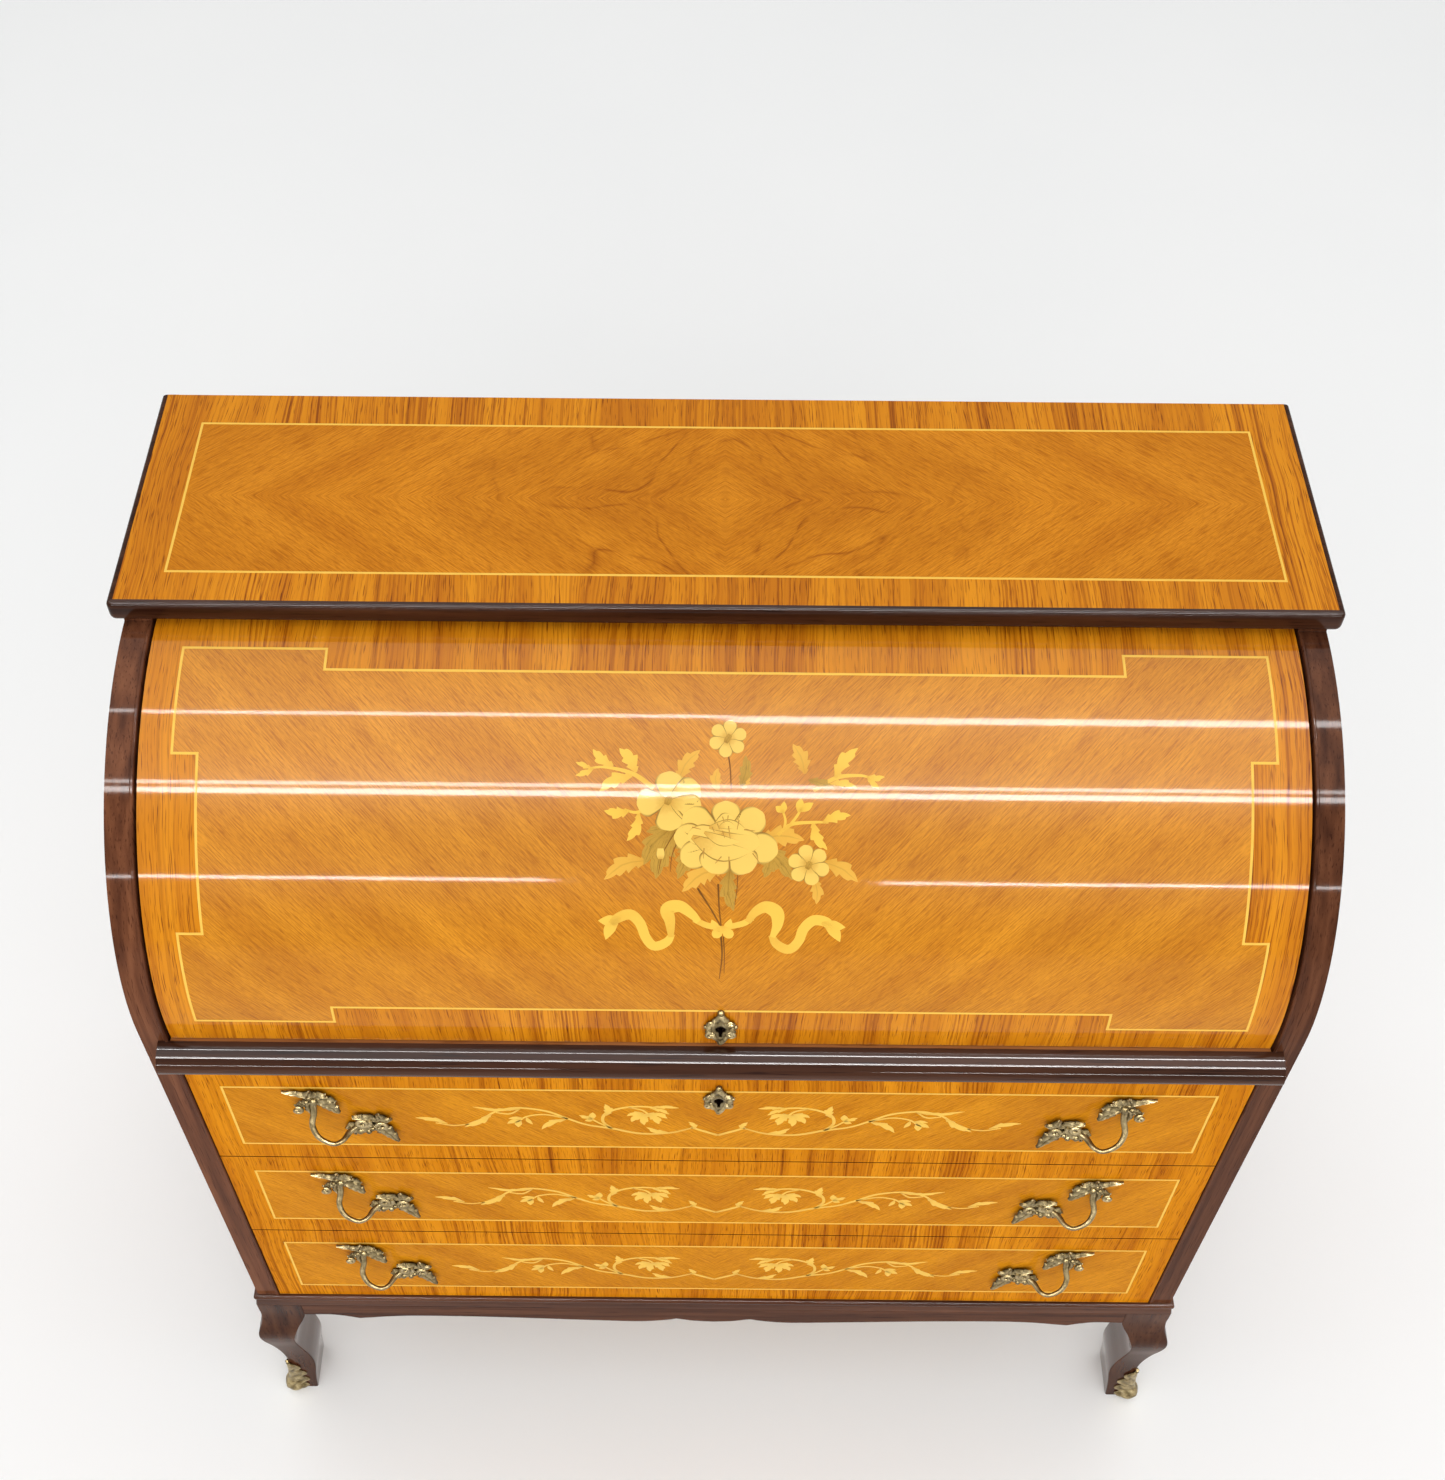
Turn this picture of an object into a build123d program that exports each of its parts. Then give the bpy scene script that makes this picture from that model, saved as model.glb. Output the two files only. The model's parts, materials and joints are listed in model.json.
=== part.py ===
from build123d import *
import math
import os

# Cylinder roll top desk on four cabriole legs: one curved front that rolls back under the top,
# a pull-out writing slide behind the rounded nosing, a pigeonhole case inside and three long drawers.
# Millimetres, +Z up. The front faces -Y, the origin is on the floor under the middle of the desk.

# Carcass, stacked from the floor up
LEG_HEIGHT = 253.5
BASE_HEIGHT = 20.0
DRAWER_HEIGHT = 171.5
DRAWER_GAP = 1.5
DRAWER_COUNT = 3
WAIST_RAIL_HEIGHT = 35.0
SLIDE_THICK = 20.0
PIVOT_RISE = 15.0
SIDE_RADIUS = 260.0
TOP_GAP = 4.0
TOP_THICK = 22.0

# Carcass, plan
CARCASS_WIDTH = 1026.0
CARCASS_DEPTH = 510.0
SIDE_THICK = 24.0
TOP_OVERHANG = 7.0
TOP_LAP = 12.0
TOP_EDGING_WIDTH = 9.0
TOP_EDGING_ROUND = 4.0
SIDE_SETBACK = 4.0
BACK_THICK = 8.0
BACK_LAP = 10.0
BOTTOM_THICK = 18.0
RAIL_DEPTH = 60.0
RAIL_HEIGHT = 19.0
RUNNER_WIDTH = 22.0
BASE_PROUD = 5.0
BASE_BEAD = 7.0

# Legs and aprons, measured outwards from the carcass faces
LEG_WIDTH = 51.5
SHOULDER_DROP = 41.5
KNEE_PROUD = 14.0
KNEE_DROP = 77.5
ANKLE_PROUD = -1.0
ANKLE_HEIGHT = 82.0
ANKLE_THICK = 31.0
TOE_PROUD = 3.5
TOE_HEIGHT = 20.0
FOOT_THICK = 30.0
SABOT_THICK = 3.0
SABOT_HEIGHT = 62.0
SABOT_WIDTH = 32.0
APRON_THICK = 22.0
APRON_DROP = 44.0
APRON_SCALLOP = 9.0
LOBE_HALF = 42.0

# Cylinder front and its quadrant arms
CYLINDER_RECESS = 2.0
CYLINDER_THICK = 16.0
CYLINDER_END_GAP = 2.5
CYLINDER_SILL_GAP = 1.0
CYLINDER_TOP_ANGLE = 90.0
ARM_THICK = 12.0
ARM_HUB_RADIUS = 12.0
ARM_FIT = 0.1
PIN_RADIUS = 5.0
PIN_CLEAR = 0.05
PIN_SEAT = 14.0
PIN_FLANGE_RADIUS = 9.0
PIN_FLANGE_CLEAR = 0.5

# Writing slide
NOSING_LAP = 9.0
NOSING_DEPTH = 23.5
NOSING_HEIGHT = 31.0
SLIDE_BACK_GAP = 22.0
SLIDE_CLEAR = 2.0
NOSING_CLEAR = 0.3
LEATHER_THICK = 2.0
LEATHER_MARGIN = 60.0

# Long drawers
FRONT_THICK = 20.0
FRONT_CLEAR = 1.5
BOX_BACK_GAP = 42.0
BOX_WALL = 12.0
BOX_DROP = 29.5
BOX_LIFT = 12.0
BOX_CLEAR = 3.0
BOX_FLOOR = 5.0
BOX_FLOOR_LIFT = 6.0

# Drawer pulls: two clusters of pointed leaves, high outside and low inside, joined by a round bow
PULL_X = 352.0
PULL_RISE = 11.0
PULL_SPREAD = 24.5
PULL_FALL = 25.0
PULL_OUT = 28.0
HORN_REACH = 21.0
HORN_DROP = 8.5
CURL_REACH = 20.0
CURL_RISE = 13.5
LEAF_WIDTH = 15.0
LEAF_THICK = 5.0
LEAF_CHAMFER = 1.6
BOSS_RADIUS = 9.0
POST_RADIUS = 4.5
BOW_RADIUS = 2.8
BOW_TUCK = 7.0

# Escutcheons and lock
PLATE_WIDTH = 30.0
PLATE_HEIGHT = 50.0
PLATE_THICK = 3.0
PLATE_WAVE = 0.12
PLATE_POINTS = 24
KEYHOLE_RADIUS = 3.5
KEYHOLE_SLOT = 3.0
KEYHOLE_DROP = 11.0
CYLINDER_PLATE_RISE = 14.0
DRAWER_PLATE_DROP = 42.0
LOCK_WIDTH = 60.0
LOCK_HEIGHT = 44.0
LOCK_THICK = 12.0
BOLT_WIDTH = 18.0
BOLT_HEIGHT = 26.0
BOLT_THICK = 6.0
BOLT_TRAVEL = 12.0
BOLT_CLEAR = 0.3

# Pigeonhole case
CASE_FLOOR_THICK = 10.0
CASE_FLOOR_CLEAR = 1.0
CASE_FLOOR_SETBACK = 20.0
CASE_SETBACK = 30.0
CASE_CORNER_ANGLE = 38.5
CASE_CYLINDER_GAP = 12.0
CASE_END_GAP = 8.5
CASE_BOARD = 8.0
CASE_BACK = 5.0
HOLE_COUNT = 5
INNER_DRAWER_HEIGHT = 54.0
INNER_DRAWER_COUNT = 3
INNER_CLEAR = 1.0
INNER_WALL = 6.0
INNER_FLOOR = 3.0
KNOB_RADIUS = 6.5
KNOB_NECK = 3.0
KNOB_LENGTH = 16.0

# Levels and planes that follow from the sizes above
BASE_Z = LEG_HEIGHT
DRAWERS_Z = BASE_Z + BASE_HEIGHT + DRAWER_GAP
DRAWER_PITCH = DRAWER_HEIGHT + DRAWER_GAP
RAIL_Z = DRAWERS_Z + DRAWER_COUNT * DRAWER_PITCH
SLIDE_Z = RAIL_Z + WAIST_RAIL_HEIGHT
WAIST_Z = SLIDE_Z + SLIDE_THICK
PIVOT_Z = WAIST_Z + PIVOT_RISE
TOP_Z = PIVOT_Z + SIDE_RADIUS + TOP_GAP
HEIGHT = TOP_Z + TOP_THICK
BACK = (CARCASS_DEPTH + PULL_OUT) / 2
FRONT = BACK - CARCASS_DEPTH
PIVOT_Y = FRONT + SIDE_RADIUS
TOP_FRONT = PIVOT_Y - TOP_LAP
BACK_FACE = BACK - BACK_THICK
OUTER_X = CARCASS_WIDTH / 2
TOP_WIDTH = CARCASS_WIDTH + 2 * TOP_OVERHANG
INNER_X = OUTER_X - SIDE_THICK
CYLINDER_X = INNER_X - CYLINDER_END_GAP
CYLINDER_OUT = SIDE_RADIUS - CYLINDER_RECESS
CYLINDER_IN = CYLINDER_OUT - CYLINDER_THICK
APRON_X = OUTER_X - LEG_WIDTH + BASE_PROUD
BOX_LENGTH = CARCASS_DEPTH - BACK_THICK - FRONT_THICK - BOX_BACK_GAP
BOX_HEIGHT = DRAWER_HEIGHT - BOX_LIFT - BOX_DROP
CASE_FLOOR_Z = WAIST_Z + CASE_FLOOR_CLEAR
CASE_Z = CASE_FLOOR_Z + CASE_FLOOR_THICK
CASE_Y = PIVOT_Y + CASE_SETBACK
CASE_X = CYLINDER_X - ARM_THICK - CASE_END_GAP
CASE_REACH = CYLINDER_IN - CASE_CYLINDER_GAP
CASE_TOP = PIVOT_Z + CASE_REACH * math.sin(math.radians(CASE_CORNER_ANGLE))
CASE_END = PIVOT_Y + CASE_REACH * math.cos(math.radians(CASE_CORNER_ANGLE)) - CASE_BACK
CASE_DEPTH = CASE_END - CASE_Y

parts = {}


def block(x0, x1, y0, y1, z0, z1):
    """A box between two corners."""
    middle = Pos((x0 + x1) / 2, (y0 + y1) / 2, (z0 + z1) / 2)
    return middle * Box(x1 - x0, y1 - y0, z1 - z0)


def mirrored(shape):
    """The same piece on the other side of the desk."""
    return mirror(shape, about=Plane.YZ)


def side_plate(face, x0, x1):
    """A face drawn in (y, z), made solid from x0 to x1."""
    return Pos(x0, 0, 0) * extrude(Plane.YZ * face, x1 - x0, dir=(1, 0, 0))


def front_plate(face, y0, y1):
    """A face drawn in (x, z), made solid from y0 to y1."""
    return Pos(0, y0, 0) * extrude(Plane.XZ * face, y1 - y0, dir=(0, 1, 0))


def rod_x(radius, x0, x1, y, z):
    """A round bar along X."""
    return Pos((x0 + x1) / 2, y, z) * Rot(0, 90, 0) * Cylinder(radius, x1 - x0)


def ring_sector(inner, outer, start, end):
    """A slice of a ring about the pivot, in (y, z); angles rise from the front."""
    turn = end - start
    centre = (PIVOT_Y, PIVOT_Z)
    inside = CenterArc(centre, inner, 180 - end, turn)
    outside = CenterArc(centre, outer, 180 - end, turn)
    return make_face(inside + outside + Line(inside @ 0, outside @ 0) + Line(inside @ 1, outside @ 1))


# Top: veneered board with a solid rounded edging along the front and both ends
def top_board():
    half = TOP_WIDTH / 2 - TOP_EDGING_WIDTH
    return block(-half, half, TOP_FRONT + TOP_EDGING_WIDTH, BACK, TOP_Z, HEIGHT)


def top_edging():
    half = TOP_WIDTH / 2 - TOP_EDGING_WIDTH
    front = TOP_FRONT + TOP_EDGING_WIDTH
    path = Polyline((half, BACK, TOP_Z), (half, front, TOP_Z), (-half, front, TOP_Z), (-half, BACK, TOP_Z))
    strip = Pos(TOP_EDGING_WIDTH / 2, TOP_THICK / 2) * Rectangle(TOP_EDGING_WIDTH, TOP_THICK)
    outer_corners = strip.vertices().group_by(Axis.X)[-1]
    strip = fillet(outer_corners, TOP_EDGING_ROUND)
    profile = Plane((half, BACK, TOP_Z), x_dir=(1, 0, 0), z_dir=(0, -1, 0)) * strip
    return sweep(profile, path, transition=Transition.RIGHT)


parts["top_panel"] = top_board()
parts["top_edging"] = top_edging()


# Sides: quarter-round front edge above the waist, rebated for the back, bored for the pivot pin
def side_panel():
    step_y = TOP_FRONT + SIDE_SETBACK
    rise = math.sqrt(SIDE_RADIUS ** 2 - (step_y - PIVOT_Y) ** 2)
    start = math.degrees(math.atan2(rise, step_y - PIVOT_Y))
    curve = CenterArc((PIVOT_Y, PIVOT_Z), SIDE_RADIUS, start, 180 - start)
    edges = Polyline(
        (FRONT, PIVOT_Z), (FRONT, BASE_Z), (BACK, BASE_Z), (BACK, TOP_Z), (step_y, TOP_Z), curve @ 0)
    plate = side_plate(make_face(curve + edges), INNER_X, OUTER_X)
    rebate = block(INNER_X, INNER_X + BACK_LAP, BACK_FACE, BACK, BASE_Z, TOP_Z)
    bore = rod_x(PIN_RADIUS + PIN_CLEAR, INNER_X, INNER_X + PIN_SEAT, PIVOT_Y, PIVOT_Z)
    return plate - rebate - bore


parts["side_right"] = side_panel()
parts["side_left"] = mirrored(parts["side_right"])
parts["back_panel"] = block(-INNER_X - BACK_LAP, INNER_X + BACK_LAP, BACK_FACE, BACK, BASE_Z, TOP_Z)
parts["bottom_board"] = block(-INNER_X, INNER_X, FRONT, BACK_FACE, BASE_Z, BASE_Z + BOTTOM_THICK)


# Rails and runners that carry the slide and the drawers
def drawer_bottom(number):
    """Lower edge of a drawer front; drawer 1 is the top one."""
    return DRAWERS_Z + (DRAWER_COUNT - number) * DRAWER_PITCH


LOCK_Y = FRONT + FRONT_THICK
BOLT_Y = LOCK_Y + LOCK_THICK / 2
BOLT_TOP = drawer_bottom(1) + DRAWER_HEIGHT - BOLT_CLEAR
mortise = block(
    -BOLT_WIDTH / 2 - BOLT_CLEAR, BOLT_WIDTH / 2 + BOLT_CLEAR,
    BOLT_Y - BOLT_THICK / 2 - BOLT_CLEAR, BOLT_Y + BOLT_THICK / 2 + BOLT_CLEAR,
    RAIL_Z, BOLT_TOP + BOLT_TRAVEL + BOLT_CLEAR)
parts["waist_rail"] = block(-INNER_X, INNER_X, FRONT, FRONT + RAIL_DEPTH, RAIL_Z, SLIDE_Z) - mortise

rails = []
runners = []
for number in range(1, DRAWER_COUNT + 1):
    runner_top = drawer_bottom(number) + BOX_LIFT
    runner_front = FRONT + FRONT_THICK + RAIL_DEPTH
    runner_bottom = BASE_Z + BOTTOM_THICK
    if number < DRAWER_COUNT:
        runner_bottom = runner_top - RAIL_HEIGHT
        rail_front = FRONT + FRONT_THICK + NOSING_CLEAR
        rails.append(block(-INNER_X, INNER_X, rail_front, runner_front, runner_bottom, runner_top))
    runner = block(INNER_X - RUNNER_WIDTH, INNER_X, runner_front, BACK_FACE, runner_bottom, runner_top)
    runners += [runner, mirrored(runner)]
parts["drawer_rails"] = Compound(rails)
parts["drawer_runners"] = Compound(runners)
slide_runner = block(INNER_X - RUNNER_WIDTH, INNER_X, FRONT + RAIL_DEPTH, BACK_FACE, RAIL_Z, SLIDE_Z)
parts["slide_runners"] = Compound([slide_runner, mirrored(slide_runner)])


# Base moulding: a bead over a hollow, mitred round the front and both sides
def base_moulding():
    path = Polyline(
        (OUTER_X, BACK, BASE_Z), (OUTER_X, FRONT, BASE_Z),
        (-OUTER_X, FRONT, BASE_Z), (-OUTER_X, BACK, BASE_Z))
    bead_bottom = BASE_HEIGHT - BASE_BEAD
    bead_round = BASE_BEAD / 2
    bead_face = BASE_PROUD - bead_round
    hollow = BASE_PROUD / 2
    bead_middle = (BASE_PROUD, BASE_HEIGHT - bead_round)
    bead = ThreePointArc((bead_face, BASE_HEIGHT), bead_middle, (bead_face, bead_bottom))
    cove = ThreePointArc((bead_face, bead_bottom), (hollow, bead_bottom / 2), (BASE_PROUD, 0))
    back_edge = Polyline((BASE_PROUD, 0), (0, 0), (0, BASE_HEIGHT), (bead_face, BASE_HEIGHT))
    profile = make_face(bead + cove + back_edge)
    placed = Plane((OUTER_X, BACK, BASE_Z), x_dir=(1, 0, 0), z_dir=(0, -1, 0)) * profile
    return sweep(placed, path, transition=Transition.RIGHT)


parts["base_moulding"] = base_moulding()


# Cabriole legs, sawn to the same curve in both directions in front and in one direction behind
def leg_outline():
    """Leg seen square on: x runs outwards from the carcass face, y upwards."""
    inner = BASE_PROUD - LEG_WIDTH
    apron_z = LEG_HEIGHT - APRON_DROP
    knee_z = LEG_HEIGHT - KNEE_DROP
    knee_inner = KNEE_PROUD - LEG_WIDTH + (BASE_PROUD + ANKLE_PROUD)
    ankle_inner = ANKLE_PROUD - ANKLE_THICK
    foot_inner = TOE_PROUD - FOOT_THICK
    outside = Spline(
        (BASE_PROUD, LEG_HEIGHT - SHOULDER_DROP), (KNEE_PROUD, knee_z),
        (ANKLE_PROUD, ANKLE_HEIGHT), (TOE_PROUD, TOE_HEIGHT),
        tangents=((0, -1), (0, -1)))
    inside = Spline(
        (inner, apron_z), (knee_inner, knee_z), (ankle_inner, ANKLE_HEIGHT), (foot_inner, 0),
        tangents=((1, -1), (0, -1)))
    head = Polyline(inside @ 0, (inner, LEG_HEIGHT), (BASE_PROUD, LEG_HEIGHT), outside @ 0)
    toe = Polyline(outside @ 1, (TOE_PROUD, 0), inside @ 1)
    return make_face(outside + inside + head + toe)


def ogive_mask(corner_x, corner_y):
    """Pointed leaf shape, looking along the diagonal at a foot's outer corner."""
    half = SABOT_WIDTH / 2
    tip = (0, SABOT_HEIGHT)
    shoulder = SABOT_HEIGHT / 2
    flank = half * 0.8
    right = ThreePointArc((half, 0), (flank, shoulder), tip)
    left = ThreePointArc((-half, 0), (-flank, shoulder), tip)
    leaf = make_face(right + left + Line((-half, 0), (half, 0)))
    plane = Plane((corner_x, corner_y, 0), x_dir=(1, 1, 0), z_dir=(1, -1, 0))
    return extrude(plane * leaf, LEG_WIDTH, both=True)


def front_leg():
    seen_from_front = front_plate(Pos(OUTER_X, 0) * leg_outline(), FRONT - LEG_WIDTH, FRONT + LEG_WIDTH)
    side_view = mirror(leg_outline(), about=Plane.YZ)
    seen_from_side = side_plate(Pos(FRONT, 0) * side_view, OUTER_X - LEG_WIDTH, OUTER_X + LEG_WIDTH)
    return seen_from_front & seen_from_side


def rear_leg():
    return front_plate(Pos(OUTER_X, 0) * leg_outline(), BACK - LEG_WIDTH, BACK)


def sabot(leg, corner_y):
    """Brass shoe over the toe's front and outer faces."""
    grown = Pos(SABOT_THICK, -SABOT_THICK, 0) * leg
    return (grown & ogive_mask(OUTER_X, corner_y)) - leg


leg = front_leg()
hind_leg = rear_leg()
front_sabot = sabot(leg, FRONT)
rear_sabot = sabot(hind_leg, BACK - LEG_WIDTH)
parts["leg_front_right"] = leg
parts["leg_front_left"] = mirrored(leg)
parts["leg_rear_right"] = hind_leg
parts["leg_rear_left"] = mirrored(hind_leg)
parts["sabots"] = Compound([front_sabot, mirrored(front_sabot), rear_sabot, mirrored(rear_sabot)])


# Aprons between the legs; the front one is scalloped about a small central lobe
def front_apron():
    high = LEG_HEIGHT - APRON_DROP
    low = high - APRON_SCALLOP
    cusp_x = APRON_X - LEG_WIDTH
    arch_x = cusp_x - LOBE_HALF
    lobe = ThreePointArc((-LOBE_HALF, high), (0, low), (LOBE_HALF, high))
    right_side = Spline((LOBE_HALF, high), (3 * LOBE_HALF, low), (arch_x, high))
    arch_middle = (arch_x + LOBE_HALF * 0.7, high - APRON_SCALLOP * 0.3)
    end_middle = (cusp_x + LEG_WIDTH * 0.4, high - APRON_SCALLOP * 0.2)
    right_arch = ThreePointArc((arch_x, high), arch_middle, (cusp_x, low))
    right_end = ThreePointArc((cusp_x, low), end_middle, (APRON_X, high))
    right = right_side + right_arch + right_end
    left = mirror(right, about=Plane.YZ)
    upper = Polyline((APRON_X, high), (APRON_X, LEG_HEIGHT), (-APRON_X, LEG_HEIGHT), (-APRON_X, high))
    apron_front = FRONT - BASE_PROUD
    return front_plate(make_face(lobe + right + left + upper), apron_front, apron_front + APRON_THICK)


apron_z = LEG_HEIGHT - APRON_DROP
leg_back_y = FRONT - BASE_PROUD + LEG_WIDTH
apron_side = OUTER_X + BASE_PROUD
side_apron = block(apron_side - APRON_THICK, apron_side, leg_back_y, BACK - LEG_WIDTH, apron_z, LEG_HEIGHT)
back_apron = block(-APRON_X, APRON_X, BACK - APRON_THICK, BACK, apron_z, LEG_HEIGHT)
parts["front_apron"] = front_apron()
parts["side_aprons"] = Compound([side_apron, mirrored(side_apron)])
parts["back_apron"] = back_apron


# Rolling cylinder front on two quadrant arms that turn on pins in the sides
def cylinder_front():
    low_angle = -math.degrees(math.asin(PIVOT_RISE / CYLINDER_IN)) - 1
    shell = side_plate(
        ring_sector(CYLINDER_IN, CYLINDER_OUT, low_angle, CYLINDER_TOP_ANGLE), -CYLINDER_X, CYLINDER_X)
    sill = block(-TOP_WIDTH, TOP_WIDTH, FRONT - SIDE_RADIUS, BACK, 0, WAIST_Z + CYLINDER_SILL_GAP)
    keyhole = keyhole_cut(PIVOT_Z + CYLINDER_PLATE_RISE, FRONT - CYLINDER_THICK, FRONT + 2 * CYLINDER_THICK)
    return shell - sill - keyhole


def cylinder_arm():
    """Solid quarter-round board with a boss about the pin."""
    centre = (PIVOT_Y, PIVOT_Z)
    rim = CenterArc(centre, CYLINDER_IN - ARM_FIT, 180 - CYLINDER_TOP_ANGLE, CYLINDER_TOP_ANGLE)
    quadrant = make_face(rim + Polyline(rim @ 1, centre, rim @ 0))
    boss = Pos(*centre) * Circle(ARM_HUB_RADIUS)
    plate = side_plate(quadrant + boss, CYLINDER_X - ARM_THICK, CYLINDER_X)
    return plate - rod_x(PIN_RADIUS + PIN_CLEAR, CYLINDER_X - ARM_THICK, CYLINDER_X, PIVOT_Y, PIVOT_Z)


def pivot_pin():
    shank = rod_x(PIN_RADIUS, CYLINDER_X - ARM_THICK, INNER_X + PIN_SEAT, PIVOT_Y, PIVOT_Z)
    return shank + rod_x(
        PIN_FLANGE_RADIUS, CYLINDER_X + PIN_FLANGE_CLEAR, INNER_X, PIVOT_Y, PIVOT_Z)


# Escutcheon plates: a wavy cartouche with a keyhole
def keyhole_cut(z, y0, y1):
    slot = Pos(0, z - KEYHOLE_DROP / 2) * Rectangle(KEYHOLE_SLOT, KEYHOLE_DROP)
    return front_plate(slot + Pos(0, z) * Circle(KEYHOLE_RADIUS), y0, y1)


def cartouche(z, y0, y1):
    points = []
    for i in range(PLATE_POINTS):
        turn = 2 * math.pi * i / PLATE_POINTS
        swell = 1 - PLATE_WAVE + PLATE_WAVE * math.cos(6 * turn)
        across = PLATE_WIDTH / 2 * swell * math.sin(turn)
        points.append((across, z + PLATE_HEIGHT / 2 * swell * math.cos(turn)))
    plate = front_plate(make_face(Spline(*points, periodic=True)), y0, y1)
    return plate - keyhole_cut(z, y0, y1)


def cylinder_escutcheon():
    slab = cartouche(PIVOT_Z + CYLINDER_PLATE_RISE, FRONT - CYLINDER_THICK, FRONT + CYLINDER_THICK)
    skin = side_plate(
        ring_sector(CYLINDER_OUT, CYLINDER_OUT + PLATE_THICK, -15, 30), -PLATE_WIDTH, PLATE_WIDTH)
    return slab & skin


def cylinder_lock():
    bottom = WAIST_Z + 2 * CYLINDER_SILL_GAP
    top = bottom + LOCK_HEIGHT
    reach = math.sqrt(CYLINDER_IN ** 2 - (top - PIVOT_Z) ** 2)
    y0 = PIVOT_Y - reach + BOLT_CLEAR
    case = block(-LOCK_WIDTH / 2, LOCK_WIDTH / 2, y0, y0 + LOCK_THICK, bottom, top)
    return case - keyhole_cut(PIVOT_Z + CYLINDER_PLATE_RISE, y0, y0 + LOCK_THICK / 2)


parts["cylinder_front"] = cylinder_front()
parts["cylinder_arm_right"] = cylinder_arm()
parts["cylinder_arm_left"] = mirrored(parts["cylinder_arm_right"])
pin = pivot_pin()
parts["pivot_pins"] = Compound([pin, mirrored(pin)])
parts["cylinder_escutcheon"] = cylinder_escutcheon()
parts["cylinder_lock"] = cylinder_lock()


# Writing slide: framed board with a leather inset and the rounded nosing across its front
slide_x = INNER_X - SLIDE_CLEAR
slide_back = BACK_FACE - SLIDE_BACK_GAP
leather_x = slide_x - LEATHER_MARGIN
leather_front = FRONT + LEATHER_MARGIN
leather_back = CASE_Y
inset = block(-leather_x, leather_x, leather_front, leather_back, WAIST_Z - LEATHER_THICK, WAIST_Z)
board = block(-slide_x, slide_x, FRONT - NOSING_CLEAR, slide_back, SLIDE_Z, WAIST_Z)
nosing_y = FRONT - NOSING_CLEAR
nosing_z = WAIST_Z - NOSING_HEIGHT / 2
oval = Pos(nosing_y, nosing_z) * Ellipse(NOSING_DEPTH, NOSING_HEIGHT / 2)
front_half = Pos(nosing_y - NOSING_DEPTH / 2, nosing_z) * Rectangle(NOSING_DEPTH, NOSING_HEIGHT)
nosing_face = oval & front_half
parts["writing_slide"] = board - inset
parts["writing_leather"] = inset
parts["slide_nosing"] = side_plate(nosing_face, -INNER_X - NOSING_LAP, INNER_X + NOSING_LAP)


# Drawers: a thick front, two sides and a back round a thin floor held in grooves
def drawer_pieces(
        half, y0, front_thick, z0, height, length, wall, box_z, box_height, floor, floor_lift, shrink):
    front = block(-half, half, y0, y0 + front_thick, z0, z0 + height)
    box_half = half - shrink
    box_y = y0 + front_thick
    end_y = box_y + length
    floor_z = box_z + floor_lift
    lap = wall / 2
    base = block(
        -box_half + wall - lap, box_half - wall + lap, box_y, end_y, floor_z, floor_z + floor)
    right = block(box_half - wall, box_half, box_y, end_y, box_z, box_z + box_height) - base
    left = mirrored(right)
    back = block(
        -box_half + wall, box_half - wall, end_y - wall, end_y, floor_z + floor, box_z + box_height)
    return front, [left, right, back], base


def leaf(root, tip):
    """Pointed leaf plate from its root to its tip in (x, z), with a chamfered outer edge."""
    along = Vector(*tip) - Vector(*root)
    sideways = Vector(-along.Y, along.X) * (LEAF_WIDTH / 2 / along.length)
    middle = Vector(*root) + along / 2
    near = ThreePointArc(root, middle + sideways, tip)
    far = ThreePointArc(tip, middle - sideways, root)
    plate = front_plate(make_face(near + far), -LEAF_THICK, 0)
    rim = plate.faces().sort_by(Axis.Y)[0].edges()
    return chamfer(rim, LEAF_CHAMFER)


def leaf_cluster(x, z, sign):
    """Boss with two long horns away from the bow and two short curls towards it."""
    tips = [
        (x + sign * HORN_REACH, z + sign * PULL_FALL / 2), (x + sign * HORN_REACH, z - sign * HORN_DROP),
        (x - sign * PULL_SPREAD / 2, z + CURL_RISE), (x - sign * CURL_REACH, z - CURL_RISE)]
    cluster = front_plate(Pos(x, z) * Circle(BOSS_RADIUS), -LEAF_THICK, 0)
    for tip in tips:
        cluster += leaf((x, z), tip)
    return cluster


def pull():
    """Right-hand pull about its own middle, in (x, z), standing out along -Y."""
    handle = leaf_cluster(PULL_SPREAD, PULL_FALL, 1) + leaf_cluster(-PULL_SPREAD, -PULL_FALL, -1)
    foot_y = -LEAF_THICK - POST_RADIUS
    ends = [(PULL_SPREAD, foot_y, PULL_FALL - BOW_TUCK), (BOW_TUCK - PULL_SPREAD, foot_y, -PULL_FALL)]
    middle = (PULL_SPREAD * 0.8, BOW_RADIUS - PULL_OUT, -PULL_FALL * 0.5)
    path = ThreePointArc(ends[0], middle, ends[1])
    handle += sweep(Plane(path @ 0, z_dir=path % 0) * Circle(BOW_RADIUS), path)
    for x, y, z in ends:
        handle += Pos(x, y / 2, z) * Rot(90, 0, 0) * Cylinder(POST_RADIUS, -y)
        handle += Pos(x, y, z) * Sphere(POST_RADIUS)
    return handle


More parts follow.
